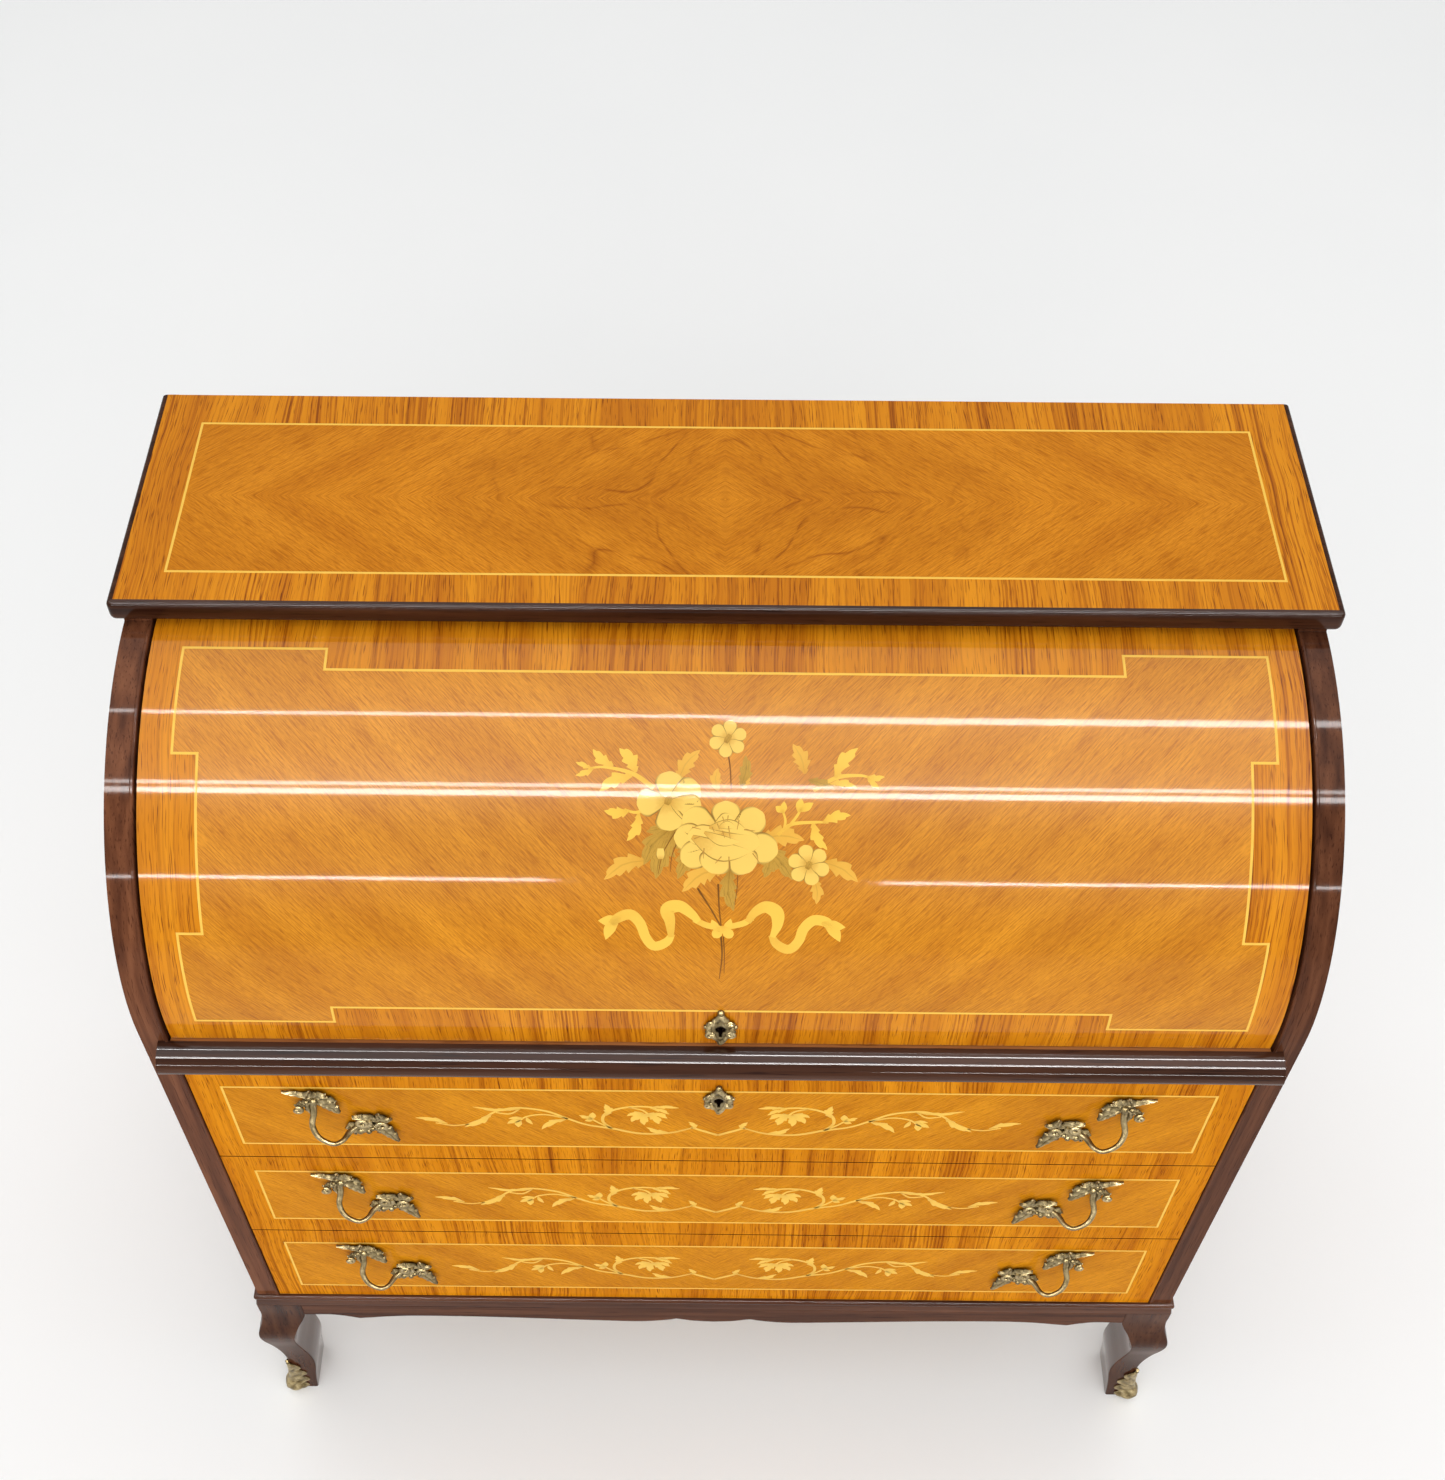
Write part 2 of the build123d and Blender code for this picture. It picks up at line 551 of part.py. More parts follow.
right_pull = pull()
for number in range(1, DRAWER_COUNT + 1):
    name = f"drawer_{number}"
    z0 = drawer_bottom(number)
    front, walls, floor = drawer_pieces(
        INNER_X - FRONT_CLEAR, FRONT, FRONT_THICK, z0, DRAWER_HEIGHT, BOX_LENGTH,
        BOX_WALL, z0 + BOX_LIFT, BOX_HEIGHT, BOX_FLOOR, BOX_FLOOR_LIFT, BOX_CLEAR)
    middle = z0 + DRAWER_HEIGHT / 2 + PULL_RISE
    handle = Pos(PULL_X, FRONT, middle) * right_pull
    plate_z = z0 + DRAWER_HEIGHT - DRAWER_PLATE_DROP
    if number == 1:
        lock_top = z0 + DRAWER_HEIGHT
        lock = block(
            -LOCK_WIDTH / 2, LOCK_WIDTH / 2, LOCK_Y, LOCK_Y + LOCK_THICK, lock_top - LOCK_HEIGHT, lock_top)
        bolt = block(
            -BOLT_WIDTH / 2, BOLT_WIDTH / 2, BOLT_Y - BOLT_THICK / 2, BOLT_Y + BOLT_THICK / 2,
            BOLT_TOP - BOLT_HEIGHT, BOLT_TOP)
        channel = block(
            -BOLT_WIDTH / 2 - BOLT_CLEAR, BOLT_WIDTH / 2 + BOLT_CLEAR,
            BOLT_Y - BOLT_THICK / 2 - BOLT_CLEAR, BOLT_Y + BOLT_THICK / 2 + BOLT_CLEAR,
            BOLT_TOP - BOLT_HEIGHT, lock_top)
        keyhole = keyhole_cut(plate_z, FRONT, LOCK_Y)
        front -= keyhole
        parts["drawer_1_lock"] = lock - channel
        parts["drawer_1_bolt"] = bolt
        parts["drawer_1_escutcheon"] = cartouche(plate_z, FRONT - PLATE_THICK, FRONT)
    parts[f"{name}_front"] = front
    parts[f"{name}_box"] = Compound(walls)
    parts[f"{name}_floor"] = floor
    parts[f"{name}_pull_right"] = handle
    parts[f"{name}_pull_left"] = mirrored(handle)


# Pigeonhole case on its fixed floor, with small drawers under open pigeonholes
shelf_z = CASE_Z + INNER_DRAWER_HEIGHT
holes_z = shelf_z + CASE_BOARD
parts["case_floor"] = block(
    -INNER_X, INNER_X, PIVOT_Y + CASE_FLOOR_SETBACK, BACK_FACE, CASE_FLOOR_Z, CASE_Z)
case_end = block(CASE_X - CASE_BOARD, CASE_X, CASE_Y, CASE_END, CASE_Z, CASE_TOP)
inside_x = CASE_X - CASE_BOARD
shelf = block(-inside_x, inside_x, CASE_Y, CASE_END, shelf_z, holes_z)
case_lid = block(-inside_x, inside_x, CASE_Y, CASE_END, CASE_TOP - CASE_BOARD, CASE_TOP)
parts["case_boards"] = Compound([case_end, mirrored(case_end), shelf, case_lid])
parts["case_back"] = block(-CASE_X, CASE_X, CASE_END, CASE_END + CASE_BACK, CASE_Z, CASE_TOP)

dividers = []
for i in range(1, HOLE_COUNT):
    x = -inside_x + 2 * inside_x * i / HOLE_COUNT
    dividers.append(block(
        x - CASE_BOARD / 2, x + CASE_BOARD / 2, CASE_Y, CASE_END, holes_z, CASE_TOP - CASE_BOARD))
inner_pitch = (2 * inside_x + CASE_BOARD) / INNER_DRAWER_COUNT
for i in range(1, INNER_DRAWER_COUNT):
    x = -inside_x - CASE_BOARD / 2 + inner_pitch * i
    dividers.append(block(x - CASE_BOARD / 2, x + CASE_BOARD / 2, CASE_Y, CASE_END, CASE_Z, shelf_z))
parts["case_dividers"] = Compound(dividers)


def knob():
    """Turned knob standing out along -Y from its own origin."""
    ball_z = KNOB_LENGTH - KNOB_RADIUS
    foot = KNOB_RADIUS * 0.8
    dip = math.degrees(math.acos(KNOB_NECK / KNOB_RADIUS))
    ball = CenterArc((0, ball_z), KNOB_RADIUS, -dip, 90 + dip)
    stem = Polyline(
        (0, KNOB_LENGTH), (0, 0), (foot, 0), (foot, KNOB_NECK / 2), (KNOB_NECK, KNOB_NECK), ball @ 0)
    return Rot(90, 0, 0) * revolve(Plane.XZ * make_face(ball + stem), Axis.Z)


inner_half = (inner_pitch - CASE_BOARD) / 2 - INNER_CLEAR
inner_knob = knob()
for i in range(INNER_DRAWER_COUNT):
    centre = -inside_x - CASE_BOARD / 2 + inner_pitch * (i + 0.5)
    front, walls, floor = drawer_pieces(
        inner_half, CASE_Y, INNER_WALL * 2, CASE_Z, INNER_DRAWER_HEIGHT - INNER_CLEAR,
        CASE_DEPTH - INNER_WALL * 3, INNER_WALL, CASE_Z, INNER_DRAWER_HEIGHT * 0.8,
        INNER_FLOOR, INNER_FLOOR, 0)
    small = [Pos(centre, 0, 0) * piece for piece in [front, floor] + walls]
    parts[f"inner_drawer_{i + 1}"] = Compound(small)
    knob_z = CASE_Z + INNER_DRAWER_HEIGHT / 2
    parts[f"inner_knob_{i + 1}"] = Pos(centre, CASE_Y, knob_z) * inner_knob

os.makedirs("parts", exist_ok=True)
for name, shape in parts.items():
    export_step(shape, f"parts/{name}.step")
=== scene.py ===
# Cylinder roll top desk in inlaid veneer: its finishes, inlays and brass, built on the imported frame.
# Metres, +Z up, front towards -Y. Drawings on a surface are in millimetres and go through MM.
import json
import math
import bpy
from mathutils import Matrix, Vector


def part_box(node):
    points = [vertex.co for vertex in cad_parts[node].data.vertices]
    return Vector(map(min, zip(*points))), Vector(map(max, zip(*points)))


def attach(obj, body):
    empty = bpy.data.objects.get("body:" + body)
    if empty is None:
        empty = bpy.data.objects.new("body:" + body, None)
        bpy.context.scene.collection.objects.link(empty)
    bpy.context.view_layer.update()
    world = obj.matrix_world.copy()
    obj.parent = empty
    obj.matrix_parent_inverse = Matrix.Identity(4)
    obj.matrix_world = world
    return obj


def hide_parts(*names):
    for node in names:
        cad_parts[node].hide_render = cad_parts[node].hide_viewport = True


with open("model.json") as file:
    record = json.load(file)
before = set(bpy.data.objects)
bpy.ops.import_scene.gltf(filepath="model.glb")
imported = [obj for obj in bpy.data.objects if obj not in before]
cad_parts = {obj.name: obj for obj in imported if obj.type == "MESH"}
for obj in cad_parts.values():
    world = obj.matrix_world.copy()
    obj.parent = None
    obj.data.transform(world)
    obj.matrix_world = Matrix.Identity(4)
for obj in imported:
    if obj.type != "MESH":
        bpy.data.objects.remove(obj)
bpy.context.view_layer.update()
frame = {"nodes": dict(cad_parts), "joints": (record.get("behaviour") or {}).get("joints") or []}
nodes = frame["nodes"]


# Studio: a pale seamless floor, even white light all round, and wide soft lights above and in front.
# A pale ceiling panel and four rows of tubes lie across the room. They only show as mirror images: bright
# lines and a thin haze on the rolled front, and lines on the nosing and the edges.
def add(tree, kind, feeds=None, **settings):
    """A node in a tree. feeds maps an input to a value, or to the socket that drives it."""
    made = tree.nodes.new(kind)
    for key, value in settings.items():
        setattr(made, key, value)
    for key, value in (feeds or {}).items():
        if isinstance(value, bpy.types.NodeSocket):
            tree.links.new(value, made.inputs[key])
        else:
            made.inputs[key].default_value = value
    return made


LACQUER_IOR = 1.3
LACQUER_BLUR = 0.06


def coated(name, roughness, coat=0.0, metallic=0.0, haze=0.0, coat_ior=LACQUER_IOR):
    """A new material with a lacquer coat; gives the material, its tree and its shader."""
    made = bpy.data.materials.new(name)
    made.use_nodes = True
    shader = made.node_tree.nodes["Principled BSDF"]
    shader.inputs["Roughness"].default_value = roughness
    shader.inputs["Metallic"].default_value = metallic
    shader.inputs["Specular IOR Level"].default_value = haze
    shader.inputs["Coat Weight"].default_value = coat
    shader.inputs["Coat IOR"].default_value = coat_ior
    shader.inputs["Coat Roughness"].default_value = LACQUER_BLUR
    return made, made.node_tree, shader


def grain(tree, place, rates, detail=3.0):
    """Noise that changes at its own rate per metre along each axis."""
    scaled = add(tree, "ShaderNodeVectorMath", {0: place, 1: rates}, operation="MULTIPLY")
    noise = add(tree, "ShaderNodeTexNoise", {"Vector": scaled.outputs[0], "Scale": 1.0, "Detail": detail})
    return noise.outputs["Fac"]


def tones(tree, value, *stops):
    """Colour ramp; each stop is its place and its red, green and blue."""
    ramp = add(tree, "ShaderNodeValToRGB", {"Fac": value})
    steps = ramp.color_ramp.elements
    steps[0].position = stops[0][0]
    steps[1].position = stops[-1][0]
    for stop in stops[1:-1]:
        steps.new(stop[0])
    for step, stop in zip(steps, stops):
        step.color = (*stop[1:], 1)
    return ramp.outputs["Color"]


def object_place(tree):
    """Where a point lies on its own piece."""
    return add(tree, "ShaderNodeTexCoord").outputs["Object"]


def in_scene(name, data):
    """A new object in the scene."""
    made = bpy.data.objects.new(name, data)
    bpy.context.scene.collection.objects.link(made)
    return made


FLOOR_HALF = 7.0
floor_mesh = bpy.data.meshes.new("floor")
corners = [(-FLOOR_HALF, -FLOOR_HALF, 0), (FLOOR_HALF, -FLOOR_HALF, 0),
           (FLOOR_HALF, FLOOR_HALF, 0), (-FLOOR_HALF, FLOOR_HALF, 0)]
floor_mesh.from_pydata(corners, [], [(0, 1, 2, 3)])
floor = in_scene("floor", floor_mesh)
floor_finish, tree, shader = coated("pale_floor", roughness=0.75)
cloudy = grain(tree, object_place(tree), (1.3, 1.3, 1.3))
paper = tones(tree, cloudy, (0.3, 0.92, 0.93, 0.935), (0.7, 0.94, 0.947, 0.95))
tree.links.new(paper, shader.inputs["Base Color"])
floor_mesh.materials.append(floor_finish)

AMBIENT = 0.63
world = bpy.data.worlds.new("studio")
world.use_nodes = True
bpy.context.scene.world = world
background = world.node_tree.nodes["Background"]
background.inputs["Color"].default_value = (1.0, 0.995, 0.985, 1)
background.inputs["Strength"].default_value = AMBIENT


def lamp(name, place, aim, length, width, radiance, mirrored):
    """A rectangular lamp turned towards a point; it either lights the room or only shows in gloss."""
    light = bpy.data.lights.new(name, "AREA")
    light.shape = "RECTANGLE"
    light.size = length
    light.size_y = width
    light.energy = radiance * math.pi * length * width
    holder = in_scene(name, light)
    toward = Vector(aim) - Vector(place)
    across = Vector((1, 0, 0)) if abs(toward.y) >= abs(toward.x) else Vector((0, 1, 0))
    across = (across - toward * across.dot(toward) / toward.length_squared).normalized()
    back = -toward.normalized()
    turn = Matrix((across, back.cross(across), back)).transposed().to_4x4()
    holder.matrix_world = Matrix.Translation(place) @ turn
    holder.visible_camera = False
    holder.visible_diffuse = not mirrored
    holder.visible_glossy = mirrored


lamp("soft_ceiling", place=(0, 0, 4.2), aim=(0, 0, 0), length=9.0, width=8.0,
     radiance=0.52, mirrored=False)
lamp("soft_front", place=(0, -4.3, 3.1), aim=(0, -0.3, 0.4), length=6.0, width=3.0,
     radiance=1.95, mirrored=False)
TUBE_HEIGHT = 3.0
TUBE_AIM = (-0.1, 0.8)
# Each tube: its middle across the room, its place along Y, its length, its width and how bright it looks
tubes = [(-2.47, -0.17, 5.0, 0.040, 75.0), (2.53, -0.21, 5.0, 0.090, 70.0), (0.0, -1.30, 6.0, 0.050, 75.0),
         (0.0, -1.46, 6.0, 0.090, 85.0), (-2.6, -5.5, 4.0, 0.10, 95.0), (2.68, -5.5, 4.0, 0.10, 95.0)]
for number, (x, y, length, width, radiance) in enumerate(tubes):
    lamp(f"tube_{number}", (x, y, TUBE_HEIGHT), (x, *TUBE_AIM), length, width, radiance, mirrored=True)
PANEL_BACK, PANEL_FRONT = 1.67, -1.56
PANEL_HEIGHT = TUBE_HEIGHT + 0.02
panel_y = (PANEL_BACK + PANEL_FRONT) / 2
lamp("ceiling_panel", place=(0, panel_y, PANEL_HEIGHT), aim=(0, panel_y, 0), length=9.0,
     width=PANEL_BACK - PANEL_FRONT, radiance=2.6, mirrored=True)

PHOTO_HEIGHT = 1480
FOCAL_PIXELS = 1883.5
AXIS_PIXELS_LEFT = 25.9
CAMERA_PLACE = (-0.0175, -1.0638, 2.3236)
pitch, yaw, roll = math.radians(51.621), math.radians(-0.325), math.radians(-0.275)
ahead = Vector((math.sin(yaw) * math.cos(pitch), math.cos(yaw) * math.cos(pitch), -math.sin(pitch)))
level = Vector((math.cos(yaw), -math.sin(yaw), 0))
below = ahead.cross(level)
right = math.cos(roll) * level + math.sin(roll) * below
down = math.cos(roll) * below - math.sin(roll) * level
lens = bpy.data.cameras.new("camera")
lens.sensor_width = 36.0
lens.lens = lens.sensor_width * FOCAL_PIXELS / PHOTO_HEIGHT
lens.shift_x = AXIS_PIXELS_LEFT / PHOTO_HEIGHT
camera = in_scene("camera", lens)
camera_turn = Matrix((right, -down, -ahead)).transposed().to_4x4()
camera.matrix_world = Matrix.Translation(CAMERA_PLACE) @ camera_turn
bpy.context.scene.camera = camera
bpy.context.scene.view_settings.view_transform = "Standard"


# Carcass sides: solid boards stained a dark red-brown and lacquered, sawn to a quarter round above the
# waist. Their outer faces carry a matched veneer leaf inside a pale string, as the drawers do.
def paint(finish, *names):
    """A finish on CAD nodes as they are."""
    for name in names:
        for place in nodes[name].material_slots:
            place.material = finish


def mixed(tree, share, first, second, mode="MIX"):
    """Two colours mixed, or one laid over the other."""
    mix = add(tree, "ShaderNodeMix", {0: share, 6: first, 7: second}, data_type="RGBA", blend_type=mode)
    return mix.outputs[2]


def sums(tree, operation, first, second):
    """Arithmetic on two values."""
    return add(tree, "ShaderNodeMath", {0: first, 1: second}, operation=operation).outputs[0]


def times(tree, first, second):
    """One colour shaded by another."""
    return mixed(tree, 1.0, first, second, "MULTIPLY")


def ranged(tree, value, low, high, start=0.0, end=1.0):
    """Runs from start to end while the value runs from low to high."""
    made = add(tree, "ShaderNodeMapRange", {
        "Value": value, "From Min": low, "From Max": high, "To Min": start, "To Max": end})
    return made.outputs["Result"]


def straight_grained(tree, place, rates, fine, shades, pores, light=1.0):
    """Straight grain with darker pores; rates are slow along the grain and fast across it."""
    lit = [(stop, *[light * part for part in colour]) for stop, *colour in shades]
    wood = tones(tree, grain(tree, place, rates, 4), *lit)
    open_pores = tones(tree, grain(tree, place, [fine * rate for rate in rates], 2), *pores)
    return times(tree, wood, open_pores)


LACQUER = 0.5
THIN_LACQUER = 0.18


def dark_mahogany(name, rates, brown, coat=LACQUER, coat_ior=LACQUER_IOR):
    """Dark lacquered wood; brown is how light it is stained."""
    made, tree, shader = coated(name, roughness=0.38, coat=coat, coat_ior=coat_ior)
    shades = [(0.3, 0.060, 0.019, 0.009), (0.52, 0.125, 0.043, 0.019), (0.75, 0.200, 0.074, 0.033)]
    pores = [(0.56, 1, 1, 1), (0.7, 0.45, 0.4, 0.4)]
    wood = straight_grained(tree, object_place(tree), rates, 8, shades, pores, brown)
    tree.links.new(wood, shader.inputs["Base Color"])
    return made


SIDE_GRAIN = (110, 30, 3)
# The right board has a darker copy of the left board's finish: painted shade on that side of the carcass.
side_finishes = {"right": dark_mahogany("mahogany_side_right", SIDE_GRAIN, brown=0.8, coat=0.32),
                 "left": dark_mahogany("mahogany_side_left", SIDE_GRAIN, brown=1.08, coat=0.32)}
for hand, finish in side_finishes.items():
    paint(finish, f"side_{hand}")


def matched_field(name, lean, tint, swirl=False, coat=LACQUER, haze=0.0):
    """Amber veneer leaves matched like the pages of a book: the drawing is folded at its seams."""
    made, tree, shader = coated(name, roughness=0.34, coat=coat, haze=haze)
    flat = add(tree, "ShaderNodeUVMap").outputs["UV"]
    folded = add(tree, "ShaderNodeVectorMath", {0: flat}, operation="ABSOLUTE").outputs[0]
    turned = add(tree, "ShaderNodeMapping", {"Vector": folded, "Rotation": (0, 0, -math.radians(lean))})
    turned = turned.outputs[0]
    bands = grain(tree, turned, (4, 30, 1), 3)
    fibres = grain(tree, turned, (42, 900, 1), 2)
    flecks = grain(tree, turned, (150, 1300, 1), 2)
    clouds = grain(tree, folded, (5, 7, 1), 2)
    wood = tones(tree, bands, (0.32, 0.54, 0.186, 0.008), (0.5, 0.60, 0.220, 0.010),
                 (0.7, 0.67, 0.258, 0.014))
    wood = times(tree, wood, (*tint, 1))
    fibre_shade = tones(tree, fibres, (0.34, 0.77, 0.68, 0.55), (0.5, 1, 1, 1), (0.66, 1.09, 1.12, 1.15))
    wood = times(tree, wood, fibre_shade)
    fleck_shade = tones(tree, flecks, (0.34, 0.84, 0.79, 0.70), (0.5, 1, 1, 1), (0.66, 1.07, 1.09, 1.11))
    wood = times(tree, wood, fleck_shade)
    cloud_shade = tones(tree, clouds, (0.3, 0.92, 0.90, 0.86), (0.7, 1.06, 1.07, 1.08))
    wood = times(tree, wood, cloud_shade)
    if swirl:
        wander = sums(tree, "MULTIPLY", grain(tree, flat, (20, 20, 1), 1), 0.10)
        hills = sums(tree, "ADD", grain(tree, turned, (5.5, 15, 1), 1), wander)
        rings = sums(tree, "PINGPONG", sums(tree, "MULTIPLY", hills, 6.5), 0.5)
        line = tones(tree, rings, (0.0, 0.55, 0.42, 0.36), (0.025, 0.78, 0.70, 0.66), (0.09, 1, 1, 1))
        broken = ranged(tree, grain(tree, flat, (24, 40, 1), 2), 0.40, 0.60)
        across = add(tree, "ShaderNodeSeparateXYZ", {0: folded}).outputs[0]
        near = sums(tree, "MULTIPLY", ranged(tree, across, 0.08, 0.30, 1.0, 0.0), broken)
        off_centre = add(tree, "ShaderNodeVectorMath", {0: flat}, operation="LENGTH").outputs["Value"]
        near = sums(tree, "MULTIPLY", near, ranged(tree, off_centre, 0.02, 0.06))
        wood = mixed(tree, near, wood, times(tree, wood, line))
    tree.links.new(wood, shader.inputs["Base Color"])
    return made


def string_wood(name):
    """Pale yellow boxwood line."""
    made, tree, shader = coated(name, roughness=0.3, coat=THIN_LACQUER)
    flat = add(tree, "ShaderNodeUVMap").outputs["UV"]
    wood = tones(tree, grain(tree, flat, (60, 3, 1)), (0.3, 0.78, 0.46, 0.07), (0.7, 0.88, 0.57, 0.11))
    tree.links.new(wood, shader.inputs["Base Color"])
    return made


def flat_mesh(name, grids):
    """Flat sheets as one mesh: each grid is rows of (x, y, lift, u, v), left to right and upwards."""
    points, faces, places = [], [], []
    for rows in grids:
        start = len(points)
        wide = len(rows[0])
        for row in rows:
            points += [(x, y, lift) for x, y, lift, u, v in row]
            places += [(u, v) for x, y, lift, u, v in row]
        for r in range(len(rows) - 1):
            for c in range(wide - 1):
                corner = start + r * wide + c
                faces.append((corner, corner + 1, corner + wide + 1, corner + wide))
    mesh = bpy.data.meshes.new(name)
    mesh.from_pydata(points, [], faces)
    layer = mesh.uv_layers.new(name="UVMap")
    for loop in mesh.loops:
        layer.data[loop.index].uv = places[loop.vertex_index]
    return mesh


MM = 0.001
WELD = 0.001 * MM
CRISP, CRISP_ROUND = 40, 60


def settled(piece, sharp=CRISP):
    """Turns a piece and its modifiers into a plain smooth mesh with crisp corners."""
    bpy.context.view_layer.update()
    evaluated = piece.evaluated_get(bpy.context.evaluated_depsgraph_get())
    mesh = bpy.data.meshes.new_from_object(evaluated)
    piece.modifiers.clear()
    piece.data = mesh
    mesh.shade_smooth()
    mesh.set_sharp_from_angle(angle=math.radians(sharp))
    return piece


def thin_piece(name, grids, thick, finish, place, roll=None):
    """Thin veneer or inlay cut from flat grids, laid on a plane or rolled round the front."""
    piece = in_scene(name, flat_mesh(name, grids))
    weld = piece.modifiers.new("weld", "WELD")
    weld.merge_threshold = WELD
    solid = piece.modifiers.new("thickness", "SOLIDIFY")
    solid.thickness = thick
    solid.offset = -1
    if roll:
        roll(piece)
    settled(piece)
    if place:
        piece.data.transform(place)
    piece.data.materials.clear()
    piece.data.materials.append(finish)
    return piece


def mounted(piece, body):
    """Puts a piece on its body."""
    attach(piece, body)
    return piece


def plane(origin, across, up):
    """Places a flat drawing with its own across and up directions."""
    across, up = Vector(across), Vector(up)
    turn = Matrix((across, up, across.cross(up))).transposed().to_4x4()
    return Matrix.Translation(origin) @ turn


def string(points, width, lift):
    """A line inlay along a closed flat outline, mitred at its corners."""
    count = len(points)
    line = [Vector(point) for point in points]
    rows = []
    travelled = 0.0
    for i in range(count + 1):
        here, before, after = line[i % count], line[(i - 1) % count], line[(i + 1) % count]
        come, go = (here - before).normalized(), (after - here).normalized()
        side = Vector((-come.y - go.y, come.x + go.x)).normalized()
        reach = width / 2 / side.dot(Vector((-come.y, come.x)))
        left, right = here + side * reach, here - side * reach
        rows.append([(left.x, left.y, lift, travelled, 0), (right.x, right.y, lift, travelled, 1)])
        travelled += (after - here).length
    return rows


def other_hand(rows):
    """Rows of points for the other hand."""
    return [[(-point[0], *point[1:]) for point in row[::-1]] for row in rows]


VENEER = 0.5 * MM
VENEER_LIFT = 0.15 * MM
STRING_WIDTH = 2.2 * MM
STRING_LIFT = 0.25 * MM
SIDE_MARGIN = 50 * MM
ROUND_STEPS = 24
LEAF_COLUMNS = 8
roll_joint = next(joint for joint in frame["joints"] if joint["name"] == "cylinder_roll")
pivot = Vector(roll_joint["pos_m"])
side_low, side_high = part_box("side_right")
base_low, base_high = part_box("base_moulding")
side_round = pivot.y - side_low.y - SIDE_MARGIN
foot_z = base_high.z + SIDE_MARGIN
back_y = side_high.y - SIDE_MARGIN
back_edge = [(back_y, pivot.z + side_round), (back_y, foot_z)]
edge = [(side_low.y + SIDE_MARGIN, foot_z)]
for i in range(ROUND_STEPS + 1):
    turn = math.pi / 2 * i / ROUND_STEPS
    edge.append((pivot.y - side_round * math.cos(turn), pivot.z + side_round * math.sin(turn)))
side_leaf = matched_field("side_leaf", 62, (1.0, 1.0, 1.0), coat=THIN_LACQUER)
pale_string = string_wood("pale_string")
middle_y = (edge[0][0] + back_y) / 2
leaf_rows = []
for y, z in edge:
    stations = [y + (back_y - y) * k / LEAF_COLUMNS for k in range(LEAF_COLUMNS + 1)]
    leaf_rows.append([(q, z, VENEER_LIFT, q - middle_y, z) for q in stations])
for hand, sign in (("right", 1), ("left", -1)):
    face = plane((sign * side_high.x, 0, 0), (0, sign, 0), (0, 0, 1))
    rows = leaf_rows if sign > 0 else other_hand(leaf_rows)
    veneer = thin_piece(f"side_veneer_{hand}", [rows], VENEER, side_leaf, face)
    mounted(veneer, "carcass")
    border = string([(sign * y, z) for y, z in edge + back_edge], STRING_WIDTH, STRING_LIFT)
    line = thin_piece(f"side_string_{hand}", [border], VENEER, pale_string, face)
    mounted(line, "carcass")


# Edge beads: a small round moulding worked on the inner front corner of each side, from the base to the
# top. Same dark wood as the sides; it catches the light as a thin line beside the rolled front.
def sized_tree(name, *sizes):
    """A node tree whose inputs are a geometry, named sizes and a finish; gives the tree and its inputs."""
    tree = bpy.data.node_groups.new(name, "GeometryNodeTree")
    sockets = tree.interface
    sockets.new_socket("Geometry", in_out="INPUT", socket_type="NodeSocketGeometry")
    for size in sizes:
        sockets.new_socket(size, in_out="INPUT", socket_type="NodeSocketFloat")
    sockets.new_socket("Finish", in_out="INPUT", socket_type="NodeSocketMaterial")
    sockets.new_socket("Geometry", in_out="OUTPUT", socket_type="NodeSocketGeometry")
    return tree, add(tree, "NodeGroupInput").outputs


def finished_tree(tree, made, finish):
    """Ends a node tree in real geometry with its finish on it."""
    real = add(tree, "GeometryNodeRealizeInstances", {"Geometry": made.outputs[0]})
    done = add(tree, "GeometryNodeSetMaterial", {"Geometry": real.outputs[0], "Material": finish})
    add(tree, "NodeGroupOutput", {"Geometry": done.outputs[0]})
    return tree


BEAD_RADIUS = 1.7 * MM
BEAD_SIDES = 10
BEAD_TOP = 86


def bead_tree():
    """Sweeps a round bead along a path."""
    tree, given = sized_tree("bead_along_path", "Radius")
    path = add(tree, "GeometryNodeMeshToCurve", {"Mesh": given["Geometry"]})
    ring = add(tree, "GeometryNodeCurvePrimitiveCircle", {
        "Resolution": BEAD_SIDES, "Radius": given["Radius"]})
    swept = add(tree, "GeometryNodeCurveToMesh", {
        "Curve": path.outputs[0], "Profile Curve": ring.outputs[0], "Fill Caps": True})
    return finished_tree(tree, swept, given["Finish"])


def with_tree(piece, tree, **inputs):
    """Adds a node tree to a piece, with its named inputs."""
    modifier = piece.modifiers.new(tree.name, "NODES")
    modifier.node_group = tree
    for item in tree.interface.items_tree:
        key = item.name.lower().replace(" ", "_")
        if item.in_out == "INPUT" and key in inputs:
            modifier[item.identifier] = inputs[key]
    return piece


beads = bead_tree()
side_radius = pivot.y - side_low.y
bead_path = [(side_low.y, base_high.z)]
for i in range(ROUND_STEPS * 2 + 1):
    turn = math.radians(BEAD_TOP) * i / (ROUND_STEPS * 2)
    bead_path.append((pivot.y - side_radius * math.cos(turn), pivot.z + side_radius * math.sin(turn)))
bead_edges = [(i, i + 1) for i in range(len(bead_path) - 1)]
for hand, sign in (("right", 1), ("left", -1)):
    bead_x = sign * (side_low.x + BEAD_RADIUS * 0.8)
    mesh = bpy.data.meshes.new(f"edge_bead_{hand}")
    mesh.from_pydata([(bead_x, y, z) for y, z in bead_path], bead_edges, [])
    bead = in_scene(f"edge_bead_{hand}", mesh)
    with_tree(bead, beads, radius=BEAD_RADIUS, finish=side_finishes[hand])
    mounted(settled(bead, CRISP_ROUND), "carcass")


